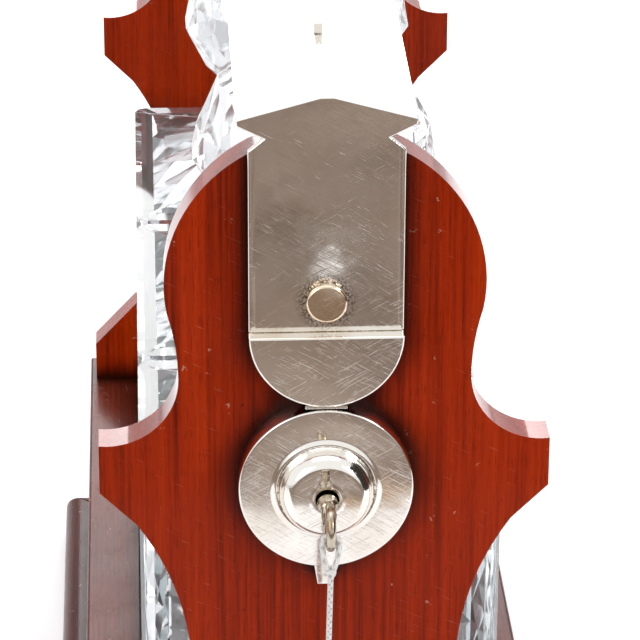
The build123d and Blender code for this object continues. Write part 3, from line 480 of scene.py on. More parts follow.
def scratch_lines(tree: bpy.types.NodeTree, place: bpy.types.NodeSocket, lean: float, width: float, length: float,
                  least: float) -> bpy.types.NodeSocket:
    """Draw fine straight lines that lean across the faces that look along X.

    Args:
        tree: the node tree.
        place: the coordinates.
        lean: degrees from upright.
        width: a line's width.
        length: its length.
        least: the noise value from which a line shows; a higher one leaves fewer.

    Returns:
        The mask of the lines.
    """
    turned = add_node(tree, "Mapping", {"Rotation": (math.radians(lean), 0.0, math.radians(lean / 9)),
                                        "Scale": (length, width, length), "Location": (lean * MM, 0.0, lean * MM)},
                      {"Vector": place}, vector_type="TEXTURE").outputs[0]
    noise = add_node(tree, "TexNoise", {"Scale": 1.0, "Detail": 2.0}, {"Vector": turned}).outputs["Fac"]
    return add_node(tree, "MapRange", {1: least, 2: least + 0.12, 3: 0.0, 4: 1.0}, {0: noise}).outputs[0]


@dataclass(frozen=True)
class SilverPlate:
    """Silver plate on nickel, buffed and long handled: a bright mirror under fine random scratches."""

    name: str
    colour: str = "#F3EFE9"
    warm: str = "#DCCDB9"
    tarnish: str = "#5A4A38"
    roughness: float = 0.03
    scratch: float = 0.16 * MM     # scratches are finer; drawn as coarse as they need to show
    scratch_length: float = 7 * MM
    rub_spacing: float = 11 * MM
    dent_spacing: float = 17 * MM
    dent_depth: float = 0.18 * MM
    tarnish_reach: float = 1.2 * MM
    speck_spacing: float = 0.6 * MM
    stain_place: tuple[float, float, float] | None = None     # where specks gather, instead of in the corners
    stain_reach: tuple[float, float] = (8.0 * MM, 5.2 * MM)
    leans: tuple[float, ...] = (62.0, 55.0, 120.0)

    def build(self) -> bpy.types.Material:
        """Make the material."""
        material, tree, output = new_material(self.name)
        place = add_node(tree, "TexCoord").outputs["Object"]
        lines = self.scratches(tree, place)
        grain = scratch_lines(tree, place, 64.0, self.scratch, 3 * self.scratch_length, 0.40)
        cloud = add_node(tree, "TexNoise", {"Scale": 1 / self.dent_spacing, "Detail": 2.0},
                         {"Vector": place}).outputs["Fac"]
        patch = add_node(tree, "MapRange", {1: 0.5, 2: 0.75, 3: 0.0, 4: 0.5}, {0: cloud}).outputs[0]
        bright = add_node(tree, "Mix", {6: linear(self.colour), 7: linear(self.warm)}, {0: patch},
                          data_type="RGBA").outputs[2]
        colour = add_node(tree, "Mix", {7: linear(self.tarnish)}, {0: self.corners(tree, place), 6: bright},
                          data_type="RGBA").outputs[2]
        rough = add_node(tree, "MapRange", {1: 0.3, 2: 0.8, 3: self.roughness, 4: self.roughness + 0.04}, {0: cloud})
        grained = add_node(tree, "Math", {1: 0.04}, {0: grain, 2: rough.outputs[0]}, operation="MULTIPLY_ADD")
        scratched = add_node(tree, "Math", {1: 0.16}, {0: lines, 2: grained.outputs[0]}, operation="MULTIPLY_ADD")
        dents = add_node(tree, "Bump", {"Strength": 0.6, "Distance": self.dent_depth}, {"Height": cloud})
        bump = add_node(tree, "Bump", {"Strength": 0.35, "Distance": 0.02 * MM},
                        {"Height": lines, "Normal": dents.outputs["Normal"]})
        shader = add_node(tree, "BsdfPrincipled", {"Metallic": 1.0},
                          {"Base Color": colour, "Roughness": scratched.outputs[0], "Normal": bump.outputs[0]})
        tree.links.new(shader.outputs[0], output.inputs["Surface"])
        return material

    def scratches(self, tree: bpy.types.NodeTree, place: bpy.types.NodeSocket) -> bpy.types.NodeSocket:
        """Give the mask of the scratches, which crowd together where the plate has been rubbed."""
        lines = None
        for lean in self.leans:
            line = scratch_lines(tree, place, lean, self.scratch, self.scratch_length, 0.62)
            moved = add_node(tree, "Mapping", {"Location": (0.0, lean * MM, 0.0)}, {"Vector": place}).outputs[0]
            rubbed = add_node(tree, "TexNoise", {"Scale": 1 / self.rub_spacing, "Detail": 2.0}, {"Vector": moved})
            crowd = add_node(tree, "MapRange", {1: 0.42, 2: 0.62, 3: 0.14, 4: 1.0}, {0: rubbed.outputs["Fac"]})
            line = add_node(tree, "Math", {}, {0: line, 1: crowd.outputs[0]}, operation="MULTIPLY").outputs[0]
            if lines is not None:
                line = add_node(tree, "Math", {}, {0: lines, 1: line}, operation="MAXIMUM").outputs[0]
            lines = line
        return lines

    def corners(self, tree: bpy.types.NodeTree, place: bpy.types.NodeSocket) -> bpy.types.NodeSocket:
        """Give the mask of the dark specks that polish leaves in inner corners."""
        if self.stain_place:
            away = add_node(tree, "VectorMath", {1: self.stain_place}, {0: place}, operation="DISTANCE")
            near = {1: self.stain_reach[0], 2: self.stain_reach[1], 3: 0.0, 4: 1.0}
            corner = add_node(tree, "MapRange", near, {0: away.outputs["Value"]}).outputs[0]
        else:
            hidden = add_node(tree, "AmbientOcclusion", {"Distance": self.tarnish_reach}, samples=8).outputs["AO"]
            corner = add_node(tree, "MapRange", {1: 0.8, 2: 0.5, 3: 0.0, 4: 1.0}, {0: hidden}).outputs[0]
        grit = add_node(tree, "TexNoise", {"Scale": 1 / self.speck_spacing, "Detail": 3.0}, {"Vector": place})
        speck = add_node(tree, "MapRange", {1: 0.46, 2: 0.56, 3: 0.0, 4: 0.9}, {0: grit.outputs["Fac"]}).outputs[0]
        return add_node(tree, "Math", {}, {0: corner, 1: speck}, operation="MULTIPLY").outputs[0]


@dataclass(frozen=True)
class TurnedMetal:
    """Steel or brass as it comes from the lathe: even, with faint tool lines and dull patches."""

    name: str
    colour: str
    worn: str
    roughness: float = 0.3
    patch: float = 3 * MM

    def build(self) -> bpy.types.Material:
        """Make the material."""
        material, tree, output = new_material(self.name)
        place = add_node(tree, "TexCoord").outputs["Object"]
        cloud = add_node(tree, "TexNoise", {"Scale": 1 / self.patch, "Detail": 4.0}, {"Vector": place}).outputs["Fac"]
        mask = add_node(tree, "MapRange", {1: 0.42, 2: 0.62, 3: 0.0, 4: 1.0}, {0: cloud}).outputs[0]
        colour = add_node(tree, "Mix", {6: linear(self.colour), 7: linear(self.worn)}, {0: mask},
                          data_type="RGBA").outputs[2]
        rough = add_node(tree, "MapRange", {1: 0.3, 2: 0.7, 3: self.roughness * 0.7, 4: self.roughness * 1.4},
                         {0: cloud}).outputs[0]
        shader = add_node(tree, "BsdfPrincipled", {"Metallic": 1.0}, {"Base Color": colour, "Roughness": rough})
        tree.links.new(shader.outputs[0], output.inputs["Surface"])
        return material


@dataclass(frozen=True)
class LeadGlass:
    """Cut and polished lead crystal: clear, bright and strongly bending the light at each facet."""

    name: str
    ior: float = 1.54
    clearness: float = 0.93      # the rest is the milky light that many small cuts scatter
    roughness: float = 0.06
    bends: int = 3               # past these the light goes straight on, as three bottles in a row need

    def build(self) -> bpy.types.Material:
        """Make the material."""
        material, tree, output = new_material(self.name)
        place = add_node(tree, "TexCoord").outputs["Object"]
        waves = add_node(tree, "TexNoise", {"Scale": 60.0, "Detail": 1.0}, {"Vector": place}).outputs["Fac"]
        bump = add_node(tree, "Bump", {"Strength": 0.12, "Distance": 0.2 * MM}, {"Height": waves}).outputs[0]
        shader = add_node(tree, "BsdfPrincipled", {"Base Color": linear("#ECEEF1"), "Roughness": self.roughness,
                                                   "IOR": self.ior, "Transmission Weight": self.clearness},
                          {"Normal": bump})
        path = add_node(tree, "LightPath")
        deep = add_node(tree, "Math", {1: self.bends + 0.5}, {0: path.outputs["Ray Depth"]}, operation="GREATER_THAN")
        shadow = add_node(tree, "Math", {}, {0: deep.outputs[0], 1: path.outputs["Is Shadow Ray"]},
                          operation="MAXIMUM")
        clear = add_node(tree, "BsdfTransparent", {"Color": linear("#F7FAFA")})
        mixed = add_node(tree, "MixShader", {}, {0: shadow.outputs[0], 1: shader.outputs[0], 2: clear.outputs[0]})
        tree.links.new(mixed.outputs[0], output.inputs["Surface"])
        return material


@dataclass(frozen=True)
class WoollenBaize:
    """Green baize: matt felted wool with a short nap."""

    name: str
    colour: str = "#1F4A2A"
    fibre: float = 0.8 * MM

    def build(self) -> bpy.types.Material:
        """Make the material."""
        material, tree, output = new_material(self.name)
        place = add_node(tree, "TexCoord").outputs["Object"]
        nap = add_node(tree, "TexNoise", {"Scale": 1 / self.fibre, "Detail": 3.0}, {"Vector": place}).outputs["Fac"]
        colour = add_node(tree, "ValToRGB", {"stops": [(0.3, "#16381F"), (0.7, self.colour)]}, {"Fac": nap})
        bump = add_node(tree, "Bump", {"Strength": 0.6, "Distance": 0.3 * MM}, {"Height": nap}).outputs[0]
        shader = add_node(tree, "BsdfPrincipled", {"Roughness": 0.95, "Sheen Weight": 0.3},
                          {"Base Color": colour.outputs["Color"], "Normal": bump})
        tree.links.new(shader.outputs[0], output.inputs["Surface"])
        return material


@dataclass(frozen=True)
class BraidedCotton:
    """White braided cotton: a tight plait of strands with small shadows between them."""

    name: str
    along: float = 90.0          # crossings along the piece
    around: float = 2.0

    def build(self) -> bpy.types.Material:
        """Make the material."""
        material, tree, output = new_material(self.name)
        place = add_node(tree, "TexCoord").outputs["UV"]
        strands = []
        for lean in (self.around, -self.around):
            turned = add_node(tree, "Mapping", {"Scale": (self.along, lean, 1.0)}, {"Vector": place}).outputs[0]
            wave = add_node(tree, "TexWave", {"Scale": 0.5, "Distortion": 0.4}, {"Vector": turned},
                            wave_type="BANDS", bands_direction="DIAGONAL", wave_profile="SIN")
            strands.append(wave.outputs["Fac"])
        plait = add_node(tree, "Math", {}, {0: strands[0], 1: strands[1]}, operation="MAXIMUM").outputs[0]
        colour = add_node(tree, "ValToRGB", {"stops": [(0.25, "#CFCBC4"), (0.7, "#FBFAF8")]}, {"Fac": plait})
        bump = add_node(tree, "Bump", {"Strength": 0.6, "Distance": 0.15 * MM}, {"Height": plait}).outputs[0]
        shader = add_node(tree, "BsdfPrincipled", {"Roughness": 0.8, "Sheen Weight": 0.2},
                          {"Base Color": colour.outputs["Color"], "Normal": bump})
        tree.links.new(shader.outputs[0], output.inputs["Surface"])
        return material


@dataclass(frozen=True)
class Finishes:
    """Every finish of the stand, made once."""

    upright: bpy.types.Material
    lengthwise: bpy.types.Material
    crosswise: bpy.types.Material
    inner_wood: bpy.types.Material
    baize: bpy.types.Material
    plate: bpy.types.Material
    clean_plate: bpy.types.Material
    warm_plate: bpy.types.Material
    stained_plate: bpy.types.Material
    steel: bpy.types.Material
    brass: bpy.types.Material
    key_metal: bpy.types.Material
    glass: bpy.types.Material
    cotton: bpy.types.Material
    short_cotton: bpy.types.Material


def make_finishes() -> Finishes:
    """Make the finishes."""
    plain = {"dark": "#6B4424", "middle": "#8A5B33", "light": "#A67547"}
    return Finishes(
        upright=PolishedMahogany("mahogany_upright", Grain.ALONG_Z, edge_gloss=0.85, through=(0.0, 1.0, 1.0)).build(),
        lengthwise=PolishedMahogany("mahogany_lengthwise", Grain.ALONG_X, dark="#3B1411", middle="#5E2418",
                                    light="#7A3322").build(),
        crosswise=PolishedMahogany("mahogany_crosswise", Grain.ALONG_Y, dark="#3B1411", middle="#5E2418",
                                   light="#7A3322").build(),
        inner_wood=PolishedMahogany("plain_inner_wood", Grain.ALONG_X, **plain).build(),
        baize=WoollenBaize("green_baize").build(),
        plate=SilverPlate("worn_silver_plate").build(),
        clean_plate=SilverPlate("clean_silver_plate", tarnish="#C8BCAA").build(),
        stained_plate=SilverPlate("stained_silver_plate", stain_place=(158.8 * MM, 0.0, 238.9 * MM)).build(),
        warm_plate=SilverPlate("brassy_silver_plate", colour="#EEDCC6", warm="#E0C49A").build(),
        steel=TurnedMetal("plain_steel", "#8E8E90", "#6F6D6B").build(),
        brass=TurnedMetal("turned_brass", "#C9A25A", "#8E6B34").build(),
        key_metal=TurnedMetal("worn_key_metal", "#C4BAA9", "#96826A", 0.22).build(),
        glass=LeadGlass("cut_lead_glass").build(),
        cotton=BraidedCotton("braided_cotton").build(),
        short_cotton=BraidedCotton("braided_cotton_short", along=8.0).build(),
    )


# ---- decanters and stoppers ---------------------------------------------------------
@dataclass
class Decanter:
    """One square cut decanter with its stopper."""

    index: int
    centre: float                        # X of its middle
    half: float = 45.5 * MM
    corner: float = 3.5 * MM
    foot: float = 61.0 * MM
    rim: float = 171.0 * MM
    rim_width: float = 5.5 * MM
    neck_base: float = 180.0 * MM
    neck_base_radius: float = 17.0 * MM
    neck_radius: float = 14.6 * MM
    lip_bottom: float = 223.5 * MM
    lip_top: float = 228.5 * MM
    lip_radius: float = 19.3 * MM
    bore: float = 11.2 * MM
    wall: float = 6.5 * MM
    floor: float = 72.0 * MM
    cell_rows: int = 7
    cell_columns: int = 6
    cut_depth: float = 1.9 * MM
    frame_width: float = 5.0 * MM

    def build(self, finishes: Finishes) -> None:
        """Make the bottle and the stopper.

        Args:
            finishes: the finishes to use.
        """
        self.place(self.bottle(), "cut_decanter", f"decanter_body_{self.index}", f"decanter_{self.index}", finishes)
        self.place(Stopper().build(), "cut_stopper", f"stopper_body_{self.index}", f"stopper_{self.index}", finishes)

    def place(self, mesh: bmesh.types.BMesh, name: str, body: str, node: str, finishes: Finishes) -> None:
        """Move a mesh to this decanter's place and make it a piece."""
        bmesh.ops.translate(mesh, verts=mesh.verts, vec=(self.centre, 0.0, 0.0))
        place_piece(mesh, f"{name}_{self.index}", body, finishes.glass, [node])

    def bottle(self) -> bmesh.types.BMesh:
        """Build the square body with its cuts, its shoulder, neck and lip, and its hollow."""
        mesh = bmesh.new()
        height = self.rim - self.foot
        size = Matrix.Diagonal((2 * self.half, 2 * self.half, height, 1.0))
        middle = Matrix.Translation((0.0, 0.0, (self.foot + self.rim) / 2))
        bmesh.ops.create_cube(mesh, size=1.0, matrix=middle @ size)
        upright = [e for e in mesh.edges if abs(e.verts[0].co.z - e.verts[1].co.z) > height / 2]
        bmesh.ops.bevel(mesh, geom=upright, offset=self.corner, offset_type="OFFSET", segments=2, profile=0.5,
                        affect="EDGES", material=-1)
        for across in (0, 1):
            for side in (-1, 1):
                self.cut_side(mesh, across, side)
        top = max(mesh.faces, key=lambda f: f.calc_center_median().z)
        self.shoulder_and_neck(mesh, top)
        face_outwards(mesh)
        return mesh

    def cut_side(self, mesh: bmesh.types.BMesh, across: int, side: int) -> None:
        """Cut one side with a field of raised diamonds inside a plain border.

        Args:
            mesh: the bmesh.
            across: 0 for a side that faces along X, 1 for one along Y.
            side: +1 or -1.
        """
        plane = side * self.half
        panel = next(f for f in mesh.faces if all(abs(v.co[across] - plane) < 1e-6 for v in f.verts))
        bmesh.ops.inset_individual(mesh, faces=[panel], thickness=self.frame_width, depth=-self.cut_depth)
        inner = side * (self.half - self.cut_depth)
        level = self.flat_faces(mesh, across, inner)
        rows = [e for e in level[0].edges if abs(e.verts[0].co.z - e.verts[1].co.z) > 10 * MM]
        bmesh.ops.subdivide_edges(mesh, edges=rows, cuts=self.cell_rows - 1, use_grid_fill=True)
        level = self.flat_faces(mesh, across, inner)
        columns = [e for f in level for e in f.edges if abs(e.verts[0].co.z - e.verts[1].co.z) < 1e-6]
        bmesh.ops.subdivide_edges(mesh, edges=list(dict.fromkeys(columns)), cuts=self.cell_columns - 1, use_grid_fill=True)
        poked = bmesh.ops.poke(mesh, faces=self.flat_faces(mesh, across, inner), offset=0.0, center_mode="MEAN_WEIGHTED")
        middles = set(poked["verts"])
        cuts = [e for f in poked["faces"] for e in f.edges
                if not middles.intersection(e.verts) and all(g in poked["faces"] for g in e.link_faces)]
        bmesh.ops.dissolve_edges(mesh, edges=list(dict.fromkeys(cuts)), use_verts=False)
        diamonds = [f for f in self.flat_faces(mesh, across, inner) if len(f.verts) == 4]
        bmesh.ops.poke(mesh, faces=diamonds, offset=self.cut_depth * 0.95, center_mode="MEAN_WEIGHTED")

    @staticmethod
    def flat_faces(mesh: bmesh.types.BMesh, across: int, plane: float) -> list:
        """List the faces that lie wholly in one upright plane."""
        return [f for f in mesh.faces if all(abs(v.co[across] - plane) < 1e-6 for v in f.verts)]

    def shoulder_and_neck(self, mesh: bmesh.types.BMesh, top: bmesh.types.BMFace) -> None:
        """Raise the shoulder, neck and lip from the top face and sink the hollow into it.

        Args:
            mesh: the bmesh.
            top: the body's top face.
        """
        bmesh.ops.inset_individual(mesh, faces=[top], thickness=self.rim_width, depth=0.0)
        long_edges = [e for e in top.edges if e.calc_length() > 30 * MM]
        bmesh.ops.subdivide_edges(mesh, edges=long_edges, cuts=3)
        top = max((f for f in mesh.faces if abs(f.calc_center_median().z - self.rim) < 1e-6
                   and f.calc_center_median().xy.length < 5 * MM), key=lambda f: f.calc_area())
        before = set(mesh.faces)
        top, ring = extrude_ring(mesh, top)
        lay_on_square(ring, self.neck_base_radius + 8 * MM, self.rim + 6 * MM, 4.0)
        top, ring = extrude_ring(mesh, top)
        lay_on_circle(ring, self.neck_base_radius, self.neck_base)
        facets = [f for f in mesh.faces if f not in before and f is not top]
        bmesh.ops.poke(mesh, faces=facets, offset=0.9 * MM, center_mode="MEAN_WEIGHTED")
        outside = [(self.neck_radius, self.neck_base + 7 * MM, 0.0), (self.neck_radius, self.lip_bottom - 6 * MM, 0.5),
                   (self.lip_radius - 1.2 * MM, self.lip_bottom, 0.5), (self.lip_radius, self.lip_bottom + 1.2 * MM, 0.5),
                   (self.lip_radius, self.lip_top - 1.5 * MM, 0.5), (self.lip_radius - 1.5 * MM, self.lip_top, 0.5)]
        for radius, z, turn in outside:
            top, ring = extrude_ring(mesh, top)
            lay_on_circle(ring, radius, z, turn)
        before = set(mesh.faces)
        for radius, z in ((self.bore, self.lip_top), (self.bore - 1.2 * MM, self.neck_base - 2 * MM)):
            top, ring = extrude_ring(mesh, top)
            lay_on_circle(ring, radius, z)
        inner = self.half - self.wall
        for half, z in ((inner, self.rim - 6 * MM), (inner, self.floor + 4 * MM), (inner - 5 * MM, self.floor)):
            top, ring = extrude_ring(mesh, top)
            lay_on_square(ring, half, z, 6.0)
        for face in mesh.faces:
            if face not in before:
                face.smooth = True


@dataclass
class Stopper:
    """A heavy faceted stopper with its ground plug."""

    bottom: float = 228.9 * MM
    height: float = 48.0 * MM
    sides: int = 10
    plug_length: float = 27.0 * MM
    plug_tip: float = 9.9 * MM
    plug_top: float = 10.6 * MM
    levels: tuple = ((15.0, 0.0, 0.0), (26.5, 0.26, 0.5), (31.0, 0.46, 0.0), (29.5, 0.62, 0.5), (24.0, 0.87, 0.0),
                     (14.0, 1.0, 0.5))

    def build(self) -> bmesh.types.BMesh:
        """Build the stopper from the tip of its plug upwards."""
        mesh = bmesh.new()
        tip = Matrix.Translation((0.0, 0.0, self.bottom - self.plug_length))
        bmesh.ops.create_circle(mesh, cap_ends=True, radius=self.plug_tip, segments=self.sides * 2, matrix=tip)
        top = next(iter(mesh.faces))
        steps = [(self.plug_top, self.bottom, 0.0)]
        steps += [(radius * MM, self.bottom + share * self.height, turn) for radius, share, turn in self.levels]
        for radius, z, turn in steps:
            top, ring = extrude_ring(mesh, top)
            lay_on_circle(ring, radius, z, turn)
        bmesh.ops.holes_fill(mesh, edges=mesh.edges, sides=0)
        face_outwards(mesh)
        return mesh


# ---- woodwork -----------------------------------------------------------------------
@dataclass
class Woodwork:
    """The plinth, aprons, deck and end panels, with the rounding that years of polish leave."""

    edge: float = 0.7 * MM
    small_edge: float = 0.5 * MM

    def build(self, finishes: Finishes) -> None:
        """Dress every wooden piece.

        Args:
            finishes: the finishes to use.
        """
        upright = ("lock_end_panel", "hinge_end_panel")
        lengthwise = ("plinth_front", "plinth_back", "apron_front", "apron_back", "deck")
        crosswise = ("plinth_lock_end", "plinth_hinge_end", "apron_lock_end", "apron_hinge_end")
        for nodes, material in ((upright, finishes.upright), (lengthwise, finishes.lengthwise),
                                (crosswise, finishes.crosswise)):
            for node in nodes:
                width = self.edge if node in upright else self.small_edge
                place_piece(softened_copy(node, width), f"polished_{node}", body_of_node(node),
                            material, [node], weighted=True)
        for node in ("well_floor", "bottom_board", "glue_blocks"):
            paint_node(node, finishes.inner_wood)
        for node in ("well_baize_1", "well_baize_2", "well_baize_3", "base_baize"):
            paint_node(node, finishes.baize)


def paint_node(node: str, material: bpy.types.Material) -> None:
    """Give a CAD node that stays as it is its finish.

    Args:
        node: the CAD node.
        material: its finish.
    """
    data = frame["nodes"][node].data
    data.materials.clear()
    data.materials.append(material)
    LOG.info("%s keeps its CAD shape", node)


# ---- metalwork ----------------------------------------------------------------------
@dataclass
class Metalwork:
    """The locking bar, straps, tongue, links, handle, hinge and the lock's small pieces."""

    sheet_edge: float = 0.35 * MM
    bevel_width: float = 1.7 * MM
    bevel_depth: float = 0.2 * MM
    small_edge: float = 0.2 * MM

    def build(self, finishes: Finishes) -> None:
        """Dress every metal piece but the lock's cover and the key.

        Args:
            finishes: the finishes to use.
        """
        sheet = ("locking_bar", "lock_strap", "lock_tongue", "strap_stud", "hinge_strap", "carrying_handle")
        small = ("lock_links", "hinge_leaf", "lock_lug")
        special = {"lock_strap": finishes.stained_plate, "strap_stud": finishes.warm_plate,
                   "lock_tongue": finishes.clean_plate}
        for nodes, width, plate in ((sheet, self.sheet_edge, finishes.plate),
                                    (small, self.small_edge, finishes.clean_plate)):
            for node in nodes:
                mesh = self.strap(width) if node == "lock_strap" else softened_copy(node, width, 2)
                finish = special.get(node, plate)
                place_piece(mesh, f"plated_{node}", body_of_node(node), finish, [node],
                            weighted=True)
        for node in ("handle_rivets", "hinge_screws"):
            paint_node(node, finishes.plate)
        for node in ("hinge_pin", "panel_screws", "lock_screws", "lock_back_plate", "lock_bolt"):
            paint_node(node, finishes.steel)
        paint_node("lock_cam", finishes.brass)

    def strap(self, width: float) -> bmesh.types.BMesh:
        """Copy the strap and give its front a shallow, wide bevel along both sides.

        Args:
            width: the rounding of the outer edge.

        Returns:
            The bevelled bmesh.
        """
        mesh = plain_copy("lock_strap")
        front = max(v.co.x for v in mesh.verts)
        low = min(v.co.z for v in mesh.verts)
        half = max(abs(v.co.y) for v in mesh.verts if v.co.z < low + 1 * MM)
        inner = half - self.bevel_width
        for side in (-1, 1):
            bmesh.ops.bisect_plane(mesh, geom=mesh.verts[:] + mesh.edges[:] + mesh.faces[:],
                                   plane_co=(0.0, side * inner, 0.0), plane_no=(0.0, 1.0, 0.0))
        for vert in mesh.verts:
            if abs(vert.co.x - front) < 1e-6 and abs(abs(vert.co.y) - half) < 1e-6:
                vert.co.x = front - self.bevel_depth
        soften_edges(mesh, width, 2)
        for edge in mesh.edges:
            if all(abs(v.co.x - front) < 1e-6 and abs(abs(v.co.y) - inner) < 1e-6 for v in edge.verts):
                edge.smooth = False
        return mesh


@dataclass
class LockDrum:
    """The drum-shaped cover of the lock: a dished face, a bead and a rounded boss round the keyhole."""

    back: float = 156.0 * MM
    front: float = 163.0 * MM
    boss_front: float = 168.8 * MM
    axis_height: float = 190.0 * MM
    wall: float = 1.2 * MM
    slot_half: float = 5.5 * MM        # the slot in the wall that takes the hasp
    slot_low: float = 207.3 * MM
    slot_high: float = 212.3 * MM
    keyway_half: float = 1.0 * MM
    keyway_low: float = 183.4 * MM

    def profile(self) -> list[tuple[float, float]]:
        """List the points of the cover's section, from the outside of its back edge to the inside."""
        f, b = self.front, self.boss_front
        mm = [(21.3, self.back), (21.3, f - 0.5 * MM), (21.15, f - 0.15 * MM), (20.95, f - 0.06 * MM),
              (20.7, f - 0.05 * MM), (17.5, f - 0.02 * MM), (13.7, f), (13.4, f), (12.9, f + 0.3 * MM),
              (12.5, f + 0.5 * MM), (12.1, f + 0.5 * MM), (11.8, f + 0.4 * MM), (11.6, f + 0.6 * MM),
              (11.5, f + 1.3 * MM), (11.3, f + 2.3 * MM), (10.9, f + 3.3 * MM), (10.4, f + 4.2 * MM),
              (9.8, f + 4.9 * MM), (9.2, f + 5.4 * MM), (8.7, f + 5.65 * MM), (8.3, b - 0.12 * MM), (8.0, b - 0.1 * MM),
              (4.7, b - 0.07 * MM), (4.4, b - 0.06 * MM), (3.8, b), (3.2, b), (2.9, b - 0.15 * MM),
              (2.8, b - 0.5 * MM), (2.8, b - self.wall), (7.5, b - self.wall), (7.5, f - self.wall),
              (20.1, f - self.wall), (20.1, self.back)]
        return [(r * MM, x) for r, x in mm]

    def build(self, finishes: Finishes) -> None:
        """Turn the cover.

        Args:
            finishes: the finishes to use.
        """
        points = self.profile()
        mesh = turned_about_x(points + points[:1], 0.0, self.axis_height, 128)
        slot = ((self.back - 1 * MM, -self.slot_half, self.slot_low),
                (self.front - self.wall, self.slot_half, self.slot_high))
        keyway = ((self.front, -self.keyway_half, self.keyway_low),
                  (self.boss_front + 1 * MM, self.keyway_half, self.axis_height))
        mesh = without_boxes(mesh, (slot, keyway))
        for face in mesh.faces:
            face.smooth = True
        for edge in mesh.edges:
            if len(edge.link_faces) == 2 and edge.calc_face_angle(0) > math.radians(50):
                edge.smooth = False
        place_piece(mesh, "turned_lock_cover", "stand", finishes.plate, ["lock_cover"])


@dataclass
class Key:
    """The small worn key: a ring bow, a turned collar, a shank and a bit."""

    axis_height: float = 190.0 * MM
    tip: float = 155.3 * MM
    bow_middle: float = 182.3 * MM
    bow_radius: float = 4.7 * MM
    bow_section: float = 1.15 * MM
    shank: float = 1.8 * MM

    def build(self, finishes: Finishes) -> None:
        """Make the key.

        Args:
            finishes: the finishes to use.
        """
        neck = self.bow_middle - self.bow_radius - 0.6 * MM
        r = self.shank
        profile = [(0.0, self.tip), (r - 0.2 * MM, self.tip), (r, self.tip + 0.3 * MM), (r, 169.8 * MM),
                   (r + 0.4 * MM, 170.0 * MM), (r + 0.8 * MM, 170.4 * MM), (r + 0.4 * MM, 170.8 * MM),
                   (r + 0.35 * MM, 171.0 * MM), (r + 0.7 * MM, 171.3 * MM), (r + 0.35 * MM, 171.7 * MM),
                   (r, 172.0 * MM), (r - 0.1 * MM, 174.5 * MM), (r + 0.1 * MM, neck - 0.4 * MM), (r, neck + 0.5 * MM),
                   (0.0, neck + 0.8 * MM)]
        mesh = turned_about_x(profile, 0.0, self.axis_height, 32)
        section = Matrix.Translation((self.bow_middle + self.bow_radius, 0.0, self.axis_height))
        ring = bmesh.ops.create_circle(mesh, cap_ends=False, radius=self.bow_section, segments=16,
                                       matrix=section)["verts"]
        rim = [e for e in mesh.edges if all(v in ring for v in e.verts)]
        bmesh.ops.spin(mesh, geom=ring + rim, cent=(self.bow_middle, 0.0, self.axis_height),
                       axis=(0.0, 1.0, 0.0), angle=math.tau, steps=48, use_merge=True, use_duplicate=False)
        bit = Matrix.Translation((self.tip + 1.6 * MM, 0.0, self.axis_height - 2.8 * MM))
        bmesh.ops.create_cube(mesh, size=1.0, matrix=bit @ Matrix.Diagonal((3 * MM, 1.4 * MM, 3.4 * MM, 1.0)))
        face_outwards(mesh)
        for face in mesh.faces:
            face.smooth = len(face.verts) == 4 and face.calc_area() < 3e-6
        place_piece(mesh, "worn_key", "key_body", finishes.key_metal, ["key"])


